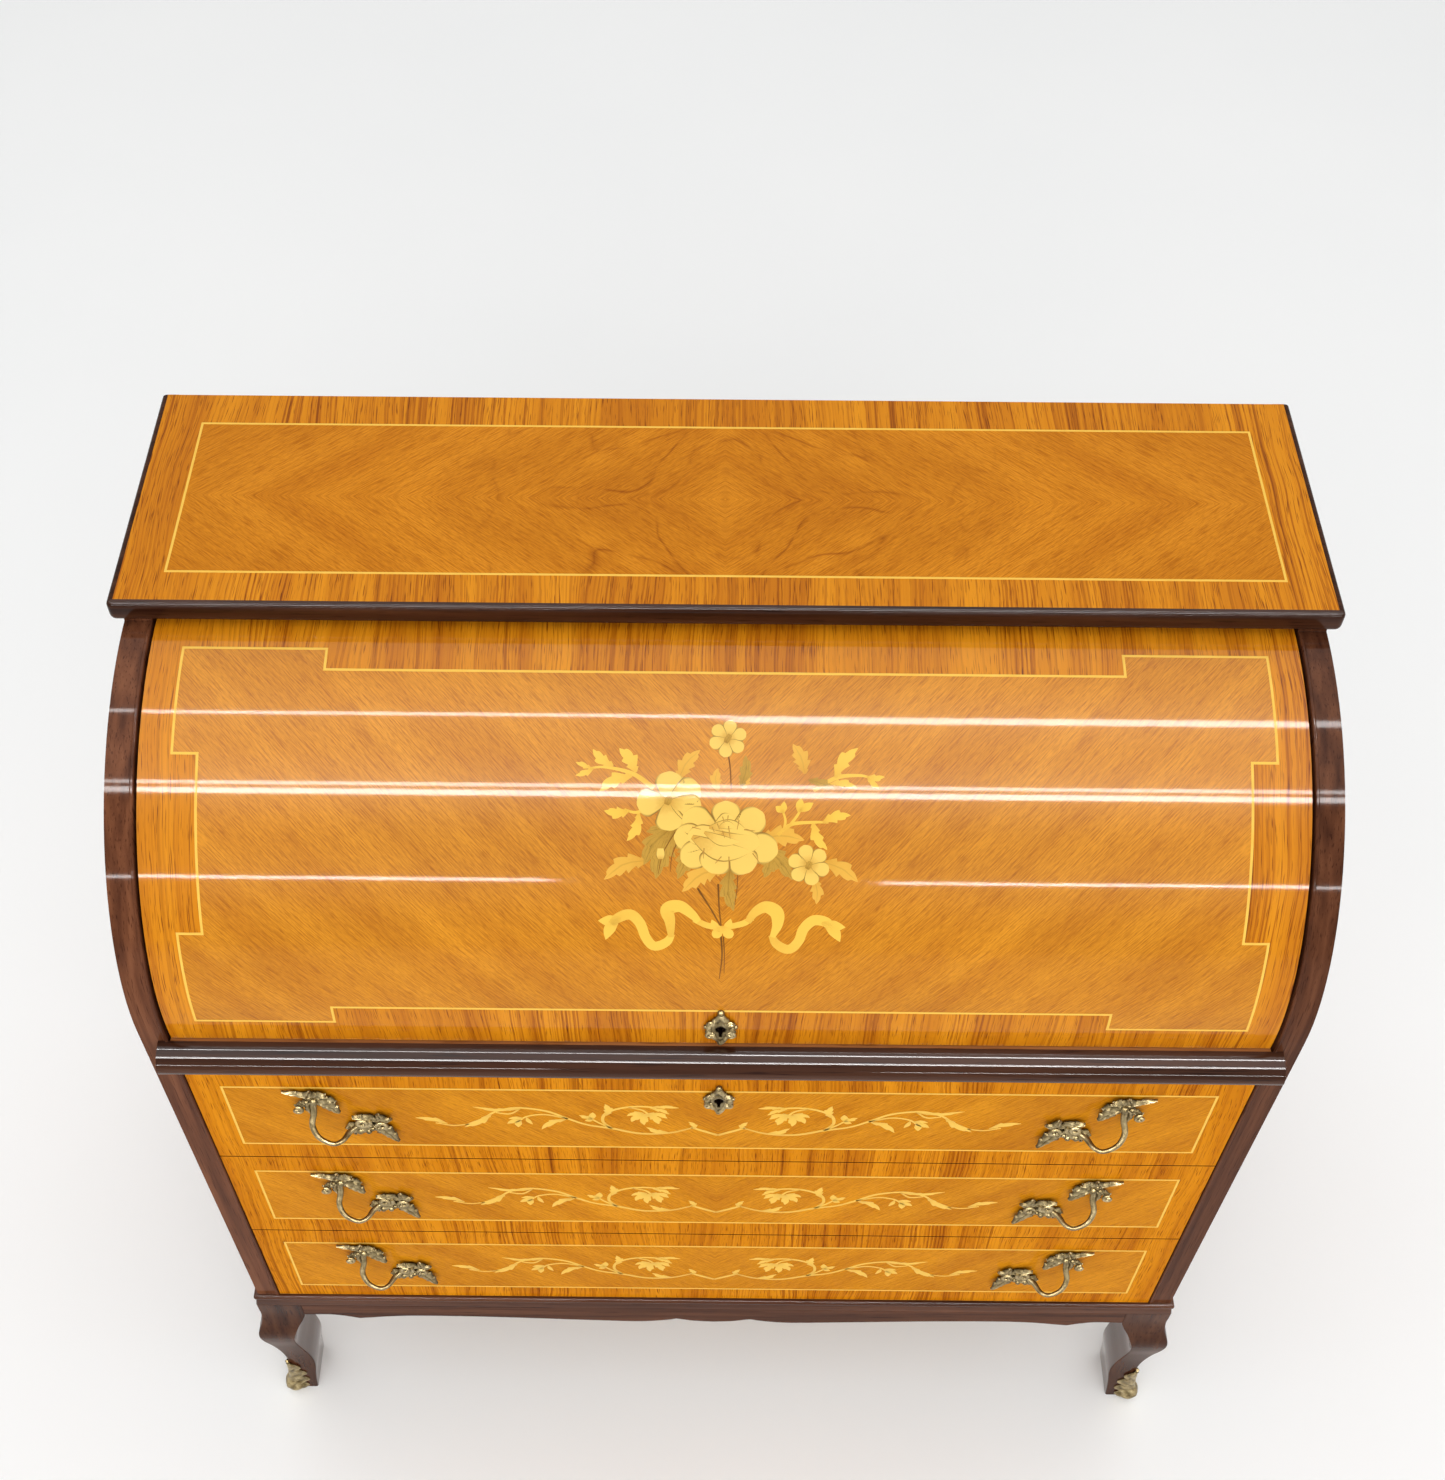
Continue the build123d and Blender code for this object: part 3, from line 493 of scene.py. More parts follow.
# Back, bottom, rails and runners: plain pale secondary wood, left satin where nobody looks.
# The back is a thin board in rebates, held by a row of domed panel pins round its edge.
def turned_on_backs(tree, place):
    """The place with X and Y swapped on faces that look to the front or the back."""
    facing = add(tree, "ShaderNodeNewGeometry").outputs["Normal"]
    towards = add(tree, "ShaderNodeSeparateXYZ", {0: facing}).outputs[1]
    is_back = sums(tree, "GREATER_THAN", sums(tree, "MULTIPLY", towards, towards), 0.5)
    parts = add(tree, "ShaderNodeSeparateXYZ", {0: place}).outputs
    swapped = add(tree, "ShaderNodeCombineXYZ", {0: parts[1], 1: parts[0], 2: parts[2]}).outputs[0]
    return mixed(tree, is_back, place, swapped)


def lining_wood(name, rates, light=1.0, round_corner=False):
    """Pale wood under thin satin lacquer; its grain may follow the boards round a corner."""
    made, tree, shader = coated(name, roughness=0.5, coat=0.15)
    place = object_place(tree)
    if round_corner:
        place = turned_on_backs(tree, place)
    shades = [(0.3, 0.40, 0.235, 0.105), (0.55, 0.52, 0.33, 0.165), (0.75, 0.60, 0.40, 0.21)]
    pores = [(0.55, 1, 1, 1), (0.7, 0.7, 0.62, 0.5)]
    wood = straight_grained(tree, place, rates, 9, shades, pores, light)
    tree.links.new(wood, shader.inputs["Base Color"])
    return made


PIN_INSET = 12 * MM
PIN_PITCH = 118 * MM
PIN_HEAD = 2.4 * MM
PIN_DOME = (1, 1, 0.45)


def pin_tree():
    """Domed pin heads at an even pitch round a rectangle."""
    tree, given = sized_tree("pins_round_panel", "Width", "Height", "Pitch", "Head")
    frame_line = add(tree, "GeometryNodeCurvePrimitiveQuadrilateral", {
        "Width": given["Width"], "Height": given["Height"]})
    spaced = add(tree, "GeometryNodeResampleCurve", {
        "Curve": frame_line.outputs[0], "Length": given["Pitch"]}, mode="LENGTH")
    head = add(tree, "GeometryNodeMeshUVSphere", {"Segments": 12, "Rings": 6, "Radius": given["Head"]})
    dome = add(tree, "GeometryNodeTransform", {"Geometry": head.outputs[0], "Scale": PIN_DOME})
    placed = add(tree, "GeometryNodeInstanceOnPoints", {
        "Points": spaced.outputs[0], "Instance": dome.outputs[0]})
    return finished_tree(tree, placed, given["Finish"])


def satin_steel(name):
    """Brushed steel of locks and pins."""
    made, tree, shader = coated(name, roughness=0.36, metallic=1.0)
    brushed = grain(tree, object_place(tree), (60, 60, 900), 2)
    tree.links.new(tones(tree, brushed, (0.3, 0.30, 0.30, 0.31), (0.7, 0.46, 0.46, 0.47)),
                   shader.inputs["Base Color"])
    return made


paint(lining_wood("lining_along_y", (70, 2.5, 70)), "drawer_runners", "slide_runners")
paint(lining_wood("lining_along_x", (2.5, 60, 60)), "drawer_rails", "bottom_board")
paint(lining_wood("back_board_wood", (34, 34, 1.4), light=0.8), "back_panel")
steel = satin_steel("satin_steel")
back_low, back_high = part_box("back_panel")
pins = in_scene("back_pins", bpy.data.meshes.new("back_pins"))
with_tree(pins, pin_tree(), width=back_high.x - back_low.x - 2 * PIN_INSET,
          height=back_high.z - back_low.z - 2 * PIN_INSET, pitch=PIN_PITCH, head=PIN_HEAD, finish=steel)
settled(pins, CRISP_ROUND)
back_middle = (back_low + back_high) / 2
pins.data.transform(plane((0, back_high.y, back_middle.z), (-1, 0, 0), (0, 0, 1)))
mounted(pins, "carcass")


# Base, legs and aprons: the same dark lacquered wood. The legs are sawn cabriole shapes: an outer and an
# inner curve seen from the front, and on the front legs a third seen from the side. Their corners are just
# eased, and their inner faces are lacquered thicker. The aprons are glued in between them, under the base.
def through(values, count):
    """Evenly spaced places on a smooth curve through the given values."""
    first, last = 2 * values[0] - values[1], 2 * values[-1] - values[-2]
    line = [first, *values, last]
    made = []
    for i in range(count + 1):
        place = i / count * (len(values) - 1)
        k = min(int(place), len(values) - 2)
        t = place - k
        a, b, c, d = line[k:k + 4]
        made.append(0.5 * (2 * b + (c - a) * t + (2 * a - 5 * b + 4 * c - d) * t * t
                           + (3 * b - a - 3 * c + d) * t ** 3))
    return made


CRISP_SAWN = 35


def solid_rows(name, rows, finish):
    """A closed solid skinned over rings of points, with a flat face at both ends."""
    count = len(rows[0])
    faces = [tuple(range(count))[::-1], tuple((len(rows) - 1) * count + k for k in range(count))]
    for r in range(len(rows) - 1):
        for k in range(count):
            after = (k + 1) % count
            faces.append((r * count + k, r * count + after, (r + 1) * count + after, (r + 1) * count + k))
    mesh = bpy.data.meshes.new(name)
    mesh.from_pydata([point for row in rows for point in row], [], faces)
    mesh.materials.append(finish)
    piece = in_scene(name, mesh)
    weld = piece.modifiers.new("weld", "WELD")
    weld.merge_threshold = WELD
    return settled(piece, CRISP_SAWN)


CURVE_STEPS = 16


def on_curve(points, z):
    """How far out a leg's curve lies at a height; the points run upwards as (out, height)."""
    line = through([Vector(point) for point in points], CURVE_STEPS * (len(points) - 1))
    for low, high in zip(line, line[1:]):
        if z <= high.y:
            return low.x + (high.x - low.x) * max(0.0, (z - low.y) / (high.y - low.y))
    return line[-1].x


# Each curve in millimetres: out from the carcass face, and height above the floor
HEAD_PROUD = 5.0
LEG_HEAD = 253.4
leg_outer = [(3.5, 0), (3.0, 22), (-0.5, 62), (-1.0, 90), (5.0, 128), (13.0, 163), (13.6, 182), (7.0, 205),
             (4.6, 224), (HEAD_PROUD, 240), (HEAD_PROUD, LEG_HEAD)]
leg_inner = [(-27, 0), (-30, 35), (-34, 68), (-33, 92), (-28.5, 120), (-25.5, 148), (-27.5, 172),
             (-34.5, 195), (-43, 213), (-46.5, 224), (-46.5, 240), (-46.5, LEG_HEAD)]
leg_front = [(7.5, 0), (7.0, 25), (5.8, 50), (4.6, 78), (5.2, 105), (8.2, 135), (12.4, 163), (13.0, 182),
             (8.0, 205), (5.2, 226), (HEAD_PROUD, LEG_HEAD)]
leg_flat = [(0, 0), (0, 100), (0, LEG_HEAD)]
LEG_DEPTH = 51.5
LEG_EASE, EASE_STEPS = 2.4, 4
LEG_RINGS = 80


def leg_rings(corner_x, front_y, back_y, front_curve):
    """Rounded oblong sections of a right-hand leg from the floor upwards."""
    rows = []
    for i in range(LEG_RINGS + 1):
        z = LEG_HEAD * i / LEG_RINGS
        right, left = corner_x / MM + on_curve(leg_outer, z), corner_x / MM + on_curve(leg_inner, z)
        front, back = front_y / MM - on_curve(front_curve, z), back_y / MM
        row = []
        for x, y, start in ((right, front, -90), (right, back, 0), (left, back, 90), (left, front, 180)):
            inward_x = -LEG_EASE if x == right else LEG_EASE
            inward_y = LEG_EASE if y == front else -LEG_EASE
            for k in range(EASE_STEPS + 1):
                turn = math.radians(start + 90 / EASE_STEPS * k)
                row.append(((x + inward_x + LEG_EASE * math.cos(turn)) * MM,
                            (y + inward_y + LEG_EASE * math.sin(turn)) * MM, z * MM))
        rows.append(row)
    return rows


LEG_GRAIN, RAIL_GRAIN = (75, 75, 5), (3, 80, 80)
leg_finish = dark_mahogany("mahogany_leg", LEG_GRAIN, brown=0.52, coat=0.5)
leg_inside = dark_mahogany("mahogany_leg_inside", LEG_GRAIN, brown=0.52, coat=1.0, coat_ior=1.9)
rail_finish = dark_mahogany("mahogany_rail", RAIL_GRAIN, brown=0.75, coat=0.35)
INWARD = 0.6


def polished_inside(leg, sign):
    """The sawn inner curve of a leg has a thicker lacquer than its front and outer faces."""
    leg.data.materials.append(leg_inside)
    for face in leg.data.polygons:
        if face.normal.x * sign < -INWARD:
            face.material_index = 1
    return leg


head_back = side_low.y + (LEG_DEPTH - HEAD_PROUD) * MM
for hand, sign in (("right", 1), ("left", -1)):
    rear_low, rear_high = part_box(f"leg_rear_{hand}")
    for end, front_y, leg_back, curve in (("front", side_low.y, head_back, leg_front),
                                          ("rear", rear_low.y, rear_high.y, leg_flat)):
        rings = leg_rings(side_high.x, front_y, leg_back, curve)
        rings = rings if sign > 0 else other_hand(rings)
        leg = polished_inside(solid_rows(f"cabriole_leg_{end}_{hand}", rings, leg_finish), sign)
        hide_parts(f"leg_{end}_{hand}")
        mounted(leg, "carcass")
paint(rail_finish, "back_apron", "waist_rail")
paint(dark_mahogany("mahogany_side_rail", (80, 3, 80), brown=0.75, coat=0.35), "side_aprons")

# The front apron's lower edge from the middle to a leg, in millimetres: across, and below the apron's head.
# A small lobe in the middle, a long shallow run, then a drop beside each leg and an arch into it.
APRON_STEPS, APRON_EASE = 12, 1.2 * MM
apron_low, apron_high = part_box("front_apron")
apron_lobe = [(0, 37), (21, 34.8), (36, 30.6), (42, 29)]
apron_run = [(42, 29), (58, 34), (88, 38), (155, 35), (254, 29.5), (345, 28.5), (405, 37)]
apron_arch = [(405, 37), (420, 31), (438, 27), (apron_high.x / MM, 28)]
lower_edge = []
for stretch in (apron_lobe, apron_run, apron_arch):
    lower_edge += through([Vector(point) for point in stretch], APRON_STEPS * (len(stretch) - 1))[:-1]
lower_edge.append(Vector(apron_arch[-1]))
lower_edge = [Vector((-point.x, point.y)) for point in lower_edge[:0:-1]] + lower_edge
apron_rings = []
for point in lower_edge:
    x, low = point.x * MM, apron_high.z - point.y * MM
    section = [(apron_low.y + APRON_EASE, low), (apron_high.y, low), (apron_high.y, apron_high.z),
               (apron_low.y, apron_high.z), (apron_low.y, low + APRON_EASE)]
    apron_rings.append([(x, y, z) for y, z in section])
apron_piece = solid_rows("scalloped_apron", apron_rings, rail_finish)
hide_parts("front_apron")
mounted(apron_piece, "carcass")


CORNER_STEPS = 6


def moulding_rings(half_x, front_y, back_y, corner, profile):
    """Carries a profile (depth, height) round the two ends and the front, round at its corners."""
    rows = [[(depth - half_x, back_y, z) for depth, z in profile]]
    for side in (-1, 1):
        for k in range(CORNER_STEPS + 1):
            turn = math.radians(90 / CORNER_STEPS * (k if side < 0 else CORNER_STEPS - k))
            row = []
            for depth, z in profile:
                past, reach = max(0.0, depth - corner), max(0.0, corner - depth)
                x = half_x - corner - past + reach * math.cos(turn)
                row.append((side * x, front_y + corner + past - reach * math.sin(turn), z))
            rows.append(row)
    rows.append([(half_x - depth, back_y, z) for depth, z in profile])
    return rows


ARC_STEPS = 6


def arc_points(middle, radius, start, end):
    """Points on an arc of a profile; angles in degrees, 0 inwards and 90 up."""
    turns = [math.radians(start + (end - start) * k / ARC_STEPS) for k in range(ARC_STEPS + 1)]
    return [(middle[0] + radius * math.cos(turn), middle[1] + radius * math.sin(turn)) for turn in turns]


BEAD_ROUND = 3.5 * MM
BASE_DEPTH, BASE_CORNER = 5 * MM, 3 * MM
# The fillet under the base's bead, in millimetres: depth, and height above its foot
base_fillet = [(1.6, 9), (0.5, 4), (0.2, 0)]
bead_middle = (BEAD_ROUND, base_high.z - BEAD_ROUND)
base_profile = [(BASE_DEPTH, base_high.z)] + arc_points(bead_middle, BEAD_ROUND, 90, 250)
base_profile += [(depth * MM, base_low.z + rise * MM) for depth, rise in base_fillet]
base_profile.append((BASE_DEPTH, base_low.z))
base_rings = moulding_rings(base_high.x, base_low.y, base_high.y, BASE_CORNER, base_profile)
base_finish = dark_mahogany("mahogany_base", RAIL_GRAIN, brown=0.75, coat=0.8)
base_piece = solid_rows("beaded_base", base_rings, base_finish)
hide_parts("base_moulding")
mounted(base_piece, "carcass")


# Top: a veneered board. Crossbanding with its grain front to back frames four matched leaves inside a pale
# string. A dark solid edging with a rounded face runs along the front and both ends, and the crossbanding
# laps over it.
KEYHOLE_REACH = (10.5 * MM, 11.5 * MM)
# Near-black painted shade: inside the keyholes, and in the gaps between the drawers.
PAINTED_SHADE_BLACK = (0.012, 0.006, 0.004, 1)


def crossband(name, keyhole, coat=LACQUER, haze=0.0, painted_gap_shade=False):
    """Golden veneer with brown streaks square to X; black is painted round the keyhole as the shade inside
    the hole, and, when asked, on faces that look up, as painted shade in the gaps between the drawers.
    """
    made, tree, shader = coated(name, roughness=0.34, coat=coat, haze=haze)
    place = object_place(tree)
    sway = sums(tree, "MULTIPLY", sums(tree, "SUBTRACT", grain(tree, place, (6, 4, 4), 2), 0.5), 0.03)
    drift = add(tree, "ShaderNodeCombineXYZ", {0: sway}).outputs[0]
    bent = add(tree, "ShaderNodeVectorMath", {0: place, 1: drift}, operation="ADD").outputs[0]
    bands = grain(tree, bent, (40, 1.4, 1.4), 3)
    streaks = grain(tree, bent, (460, 2.4, 2.4), 3)
    pores = grain(tree, bent, (1250, 42, 42), 1)
    wood = tones(tree, bands, (0.34, 0.51, 0.160, 0.004), (0.5, 0.61, 0.212, 0.005),
                 (0.66, 0.69, 0.258, 0.008))
    dark_lines = tones(tree, streaks, (0.48, 1, 1, 1), (0.58, 0.72, 0.60, 0.48), (0.70, 0.42, 0.29, 0.19))
    crowded = ranged(tree, grain(tree, bent, (14, 1, 1), 2), 0.40, 0.60, start=0.4)
    wood = mixed(tree, crowded, wood, times(tree, wood, dark_lines))
    wood = times(tree, wood, tones(tree, pores, (0.60, 1, 1, 1), (0.70, 0.42, 0.30, 0.22)))
    # Painted shade: black round the keyhole stands for the dark inside the hole.
    away = add(tree, "ShaderNodeVectorMath", {0: place, 1: keyhole}, operation="DISTANCE").outputs["Value"]
    wood = mixed(tree, ranged(tree, away, *KEYHOLE_REACH, 1.0, 0.0), wood, PAINTED_SHADE_BLACK)
    # Painted shade: faces that look up, the top edges of the drawer fronts, are painted black as the shade
    # in the gaps.
    if painted_gap_shade:
        facing = add(tree, "ShaderNodeNewGeometry").outputs["Normal"]
        upward = add(tree, "ShaderNodeSeparateXYZ", {0: facing}).outputs[2]
        wood = mixed(tree, ranged(tree, upward, 0.5, 0.8), wood, PAINTED_SHADE_BLACK)
    tree.links.new(wood, shader.inputs["Base Color"])
    return made


def oblong(left, right, low, high):
    """The corners of an oblong outline."""
    return [(left, low), (right, low), (right, high), (left, high)]


def sheet(left, right, low, high, lift, columns, rows, centre):
    """A rectangle of veneer as a grid; its own coordinates are measured from centre."""
    grid = []
    for r in range(rows + 1):
        y = low + (high - low) * r / rows
        stations = [left + (right - left) * c / columns for c in range(columns + 1)]
        grid.append([(x, y, lift, x - centre[0], y - centre[1]) for x in stations])
    return grid


plate_low, plate_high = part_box("cylinder_escutcheon")
EYE_TO_SLOT = Vector((0, 0, 4 * MM))
GLOW = 0.065
# Black is painted round the front's keyhole as the shade inside it.
band_finish = crossband("golden_crossband", (plate_low + plate_high) / 2 - EYE_TO_SLOT, haze=0.4 * GLOW)
paint(band_finish, "top_panel")
top_low, top_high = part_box("top_panel")
edge_low, edge_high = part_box("top_edging")
EDGE_ROUND, EDGE_UNDER, EDGE_CORNER = 5 * MM, 7 * MM, 6 * MM
OVER_ENDS, OVER_FRONT = 3.3 * MM, 1.5 * MM
edge_x, edge_front = edge_high.x + OVER_ENDS, edge_low.y - OVER_FRONT
edge_depth = edge_x - top_high.x
edge_profile = [(edge_depth, edge_high.z)]
edge_profile += arc_points((EDGE_ROUND, edge_high.z - EDGE_ROUND), EDGE_ROUND, 90, 180)
edge_profile += arc_points((EDGE_UNDER, edge_low.z + EDGE_UNDER), EDGE_UNDER, 180, 270)
edge_profile.append((edge_depth, edge_low.z))
edge_rings = moulding_rings(edge_x, edge_front, edge_high.y, EDGE_CORNER, edge_profile)
edge_finish = dark_mahogany("mahogany_edging", (4, 90, 90), brown=0.38, coat=0.6)
edging = solid_rows("rounded_edging", edge_rings, edge_finish)
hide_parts("top_edging")
mounted(edging, "carcass")
FIELD_X = 478.5 * MM
TOP_FIELD_FRONT = 44.3 * MM
TOP_FIELD_BACK = 230.2 * MM
top_face = plane((0, 0, top_high.z), (1, 0, 0), (0, 1, 0))
seam = (0, (TOP_FIELD_FRONT + TOP_FIELD_BACK) / 2)
BAND_MARGIN, BAND_LAP = 6 * MM, 4 * MM
band_x, band_front = edge_x - BAND_MARGIN, edge_front + BAND_MARGIN
lap_x, lap_y = top_high.x - BAND_LAP, top_low.y + BAND_LAP
band_strips = [sheet(-band_x, band_x, band_front, lap_y, VENEER_LIFT, 12, 1, (0, 0)),
               sheet(-band_x, -lap_x, lap_y, edge_high.y, VENEER_LIFT, 1, 4, (0, 0)),
               sheet(lap_x, band_x, lap_y, edge_high.y, VENEER_LIFT, 1, 4, (0, 0))]
mounted(thin_piece("top_band", band_strips, VENEER, band_finish, top_face), "carcass")
top_leaves = sheet(-FIELD_X, FIELD_X, TOP_FIELD_FRONT, TOP_FIELD_BACK, VENEER_LIFT, 12, 4, seam)
top_finish = matched_field("top_leaves", 140, (0.94, 0.89, 0.95), swirl=True)
top_field = thin_piece("top_field", [top_leaves], VENEER, top_finish, top_face)
mounted(top_field, "carcass")
border = string(oblong(-FIELD_X, FIELD_X, TOP_FIELD_FRONT, TOP_FIELD_BACK), STRING_WIDTH, STRING_LIFT)
top_line = thin_piece("top_string", [border], VENEER, pale_string, top_face)
mounted(top_line, "carcass")


# Pigeonhole case: thin red-brown boards housed into each other behind the writing space, with three
# small drawers on turned brass knobs under five pigeonholes.
def interior_wood(name, rates):
    """Red-brown satin wood of the inner case."""
    made, tree, shader = coated(name, roughness=0.42, coat=0.35)
    shades = [(0.3, 0.21, 0.075, 0.022), (0.55, 0.31, 0.12, 0.037), (0.75, 0.39, 0.165, 0.055)]
    pores = [(0.55, 1, 1, 1), (0.7, 0.6, 0.5, 0.4)]
    wood = straight_grained(tree, object_place(tree), rates, 8, shades, pores)
    tree.links.new(wood, shader.inputs["Base Color"])
    return made


def antique_brass(name, chased=False):
    """Cast brass with a mottled patina. A chased casting carries a map of its relief: patina and painted
    shade darken its hollows and the sides of its rods that face the wood, and a painted highlight lightens
    its raised parts.
    """
    made, tree, shader = coated(name, roughness=0.40, metallic=1.0)
    place = object_place(tree)
    patina = grain(tree, place, (170, 170, 170), 4)
    rubbed = grain(tree, place, (900, 900, 900), 2)
    metal = tones(tree, patina, (0.32, 0.17, 0.13, 0.066), (0.5, 0.31, 0.25, 0.142),
                  (0.7, 0.43, 0.36, 0.225))
    speckle = tones(tree, rubbed, (0.35, 0.8, 0.78, 0.74), (0.65, 1.1, 1.1, 1.1))
    metal = times(tree, metal, speckle)
    if chased:
        flat = add(tree, "ShaderNodeUVMap").outputs["UV"]
        # The relief map paints shade and highlight together with patina and rubbing: dark in hollows,
        # grooves and on the sides that face the wood, light on raised parts.
        relief = add(tree, "ShaderNodeSeparateXYZ", {0: flat}).outputs[0]
        wear_and_painted_light = tones(tree, relief, (0.0, 0.15, 0.115, 0.07), (0.45, 0.66, 0.63, 0.55),
                            (0.9, 1.35, 1.32, 1.22))
        metal = times(tree, metal, wear_and_painted_light)
    tree.links.new(metal, shader.inputs["Base Color"])
    return made


brass = antique_brass("antique_brass")
case_along_x = interior_wood("case_wood_along_x", (3, 60, 60))
paint(case_along_x, "case_boards", "case_floor", "case_back")
paint(case_along_x, "inner_drawer_1", "inner_drawer_2", "inner_drawer_3")
paint(interior_wood("case_wood_upright", (60, 60, 3)), "case_dividers")
paint(brass, "inner_knob_1", "inner_knob_2", "inner_knob_3", "pivot_pins")


# Writing slide: a framed board with a leather inset, pulled out by the rounded nosing across its front.
# The leather is glued flush and tooled with a gilt line.
def tooled_leather(name):
    """Worn red-brown hide with a fine grain."""
    made, tree, shader = coated(name, roughness=0.5, coat=0.1)
    place = object_place(tree)
    cells = add(tree, "ShaderNodeTexVoronoi", {"Vector": place, "Scale": 750.0})
    worn = grain(tree, place, (14, 14, 14), 3)
    hide = tones(tree, worn, (0.3, 0.085, 0.022, 0.012), (0.7, 0.15, 0.04, 0.02))
    tree.links.new(hide, shader.inputs["Base Color"])
    bump = add(tree, "ShaderNodeBump", {
        "Height": cells.outputs["Distance"], "Distance": 0.15 * MM, "Strength": 0.6})
    tree.links.new(bump.outputs[0], shader.inputs["Normal"])
    return made


def gilt(name):
    """Gold leaf of a tooled line, worn through in spots."""
    made, tree, shader = coated(name, roughness=0.3, metallic=1.0)
    worn = grain(tree, object_place(tree), (400, 400, 400), 3)
    gold = tones(tree, worn, (0.35, 0.45, 0.28, 0.08), (0.6, 0.83, 0.58, 0.2))
    tree.links.new(gold, shader.inputs["Base Color"])
    return made


paint(case_along_x, "writing_slide")
paint(dark_mahogany("mahogany_nosing", (2.5, 70, 70), brown=0.42, coat=0.9), "slide_nosing")
hide_low, hide_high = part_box("writing_leather")
slide_face = plane((0, 0, hide_high.z), (1, 0, 0), (0, 1, 0))
hide_grid = sheet(hide_low.x, hide_high.x, hide_low.y, hide_high.y, 0.0, 24, 8, (0, 0))
hide_finish = tooled_leather("russet_leather")
hide = thin_piece("leather_inset", [hide_grid], hide_high.z - hide_low.z, hide_finish, slide_face)
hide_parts("writing_leather")
mounted(hide, "slide")
TOOLING_LIFT, TOOLING_THICK = 0.05 * MM, 0.1 * MM
tooling = []
for inset, width in ((14 * MM, 1.2 * MM), (19 * MM, 2.4 * MM), (24 * MM, 1.2 * MM)):
    corners = oblong(hide_low.x + inset, hide_high.x - inset, hide_low.y + inset, hide_high.y - inset)
    tooling.append(string(corners, width, TOOLING_LIFT))
gilt_lines = thin_piece("gilt_tooling", tooling, TOOLING_THICK, gilt("gilt"), slide_face)
mounted(gilt_lines, "slide")


# Rolling front: one curved veneered panel on two quadrant boards. Vertical crossbanding frames two leaves
# that meet in a V; the string steps in and out round them, and a bouquet tied with a ribbon is inlaid.
def roll_tree():
    """Rolls a flat drawing (across, up the curve, lift) round the front's axis."""
    tree, given = sized_tree("roll_round_front", "Radius", "Axis Y", "Axis Z")
    drawn = add(tree, "GeometryNodeInputPosition").outputs[0]
    flat = add(tree, "ShaderNodeSeparateXYZ", {0: drawn}).outputs
    angle = sums(tree, "DIVIDE", flat[1], given["Radius"])
    reach = sums(tree, "ADD", given["Radius"], flat[2])
    forward = sums(tree, "MULTIPLY", reach, sums(tree, "COSINE", angle, 0.0))
    rise = sums(tree, "MULTIPLY", reach, sums(tree, "SINE", angle, 0.0))
    rolled = add(tree, "ShaderNodeCombineXYZ", {
        0: flat[0], 1: sums(tree, "SUBTRACT", given["Axis Y"], forward),
        2: sums(tree, "ADD", given["Axis Z"], rise)})
    moved = add(tree, "GeometryNodeSetPosition", {
        "Geometry": given["Geometry"], "Position": rolled.outputs[0]})
    return finished_tree(tree, moved, given["Finish"])


front_low, front_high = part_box("cylinder_front")
roll_radius = pivot.y - front_low.y
rolling = roll_tree()


def rolled_piece(name, grids, thick, finish):
    """A thin piece that follows the rolled front."""
    def roll(piece):
        """Bends the flat piece round the front."""
        with_tree(piece, rolling, radius=roll_radius, axis_y=pivot.y, axis_z=pivot.z, finish=finish)
    return mounted(thin_piece(name, grids, thick, finish, None, roll), "cylinder")


def up_curve(degrees):
    """Height up the curve, measured along the face from the level of the pivot."""
    return roll_radius * math.radians(degrees)


paint(band_finish, "cylinder_front")
paint(interior_wood("quadrant_wood", (60, 60, 3)), "cylinder_arm_right", "cylinder_arm_left")
paint(steel, "cylinder_lock")
OUTER, INNER, NOTCH = 458.6 * MM, 437.4 * MM, 337 * MM
BOTTOM, SILL, LOW_STEP, HIGH_STEP, LINTEL, CROWN = [up_curve(a) for a in (3.7, 8.4, 26.5, 61.1, 77.8, 82.3)]
half_line = [(NOTCH, SILL), (NOTCH, BOTTOM), (OUTER, BOTTOM), (OUTER, LOW_STEP), (INNER, LOW_STEP),
             (INNER, HIGH_STEP), (OUTER, HIGH_STEP), (OUTER, CROWN), (NOTCH, CROWN), (NOTCH, LINTEL)]
stepped = half_line + [(-x, s) for x, s in half_line[::-1]]


def finer(points, step):
    """The same closed outline with more points, so that it can follow a curve."""
    made = []
    for start, end in zip(points, points[1:] + points[:1]):
        count = max(1, math.ceil((Vector(end) - Vector(start)).length / step))
        made += [tuple(Vector(start).lerp(Vector(end), k / count)) for k in range(count)]
    return made


ROW_DEGREES = 1.8


def stepped_leaf():
    """The field inside the stepped string, in blocks whose rows meet."""
    levels = [BOTTOM, SILL, LOW_STEP, HIGH_STEP, LINTEL, CROWN]
    blocks = []
    for low, high in zip(levels, levels[1:]):
        rows = max(2, math.ceil((high - low) / up_curve(ROW_DEGREES)))
        reach = INNER if low == LOW_STEP else OUTER
        if low in (BOTTOM, LINTEL):
            spans = [(-OUTER, -INNER), (-INNER, -NOTCH), (NOTCH, INNER), (INNER, OUTER)]
        else:
            spans = [(-OUTER, -INNER), (-INNER, -NOTCH), (-NOTCH, NOTCH), (NOTCH, INNER), (INNER, OUTER)]
        for left, right in spans:
            if max(abs(left), abs(right)) <= reach:
                blocks.append(sheet(left, right, low, high, VENEER_LIFT, 1, rows, (0, 0)))
    return blocks


STRING_STEP = 8 * MM
front_leaf = matched_field("front_leaves", 47, (0.95, 0.97, 0.85), haze=GLOW)
rolled_piece("front_field", stepped_leaf(), VENEER, front_leaf)
front_line = string(finer(stepped, STRING_STEP), STRING_WIDTH, STRING_LIFT)
rolled_piece("front_string", [front_line], VENEER, pale_string)


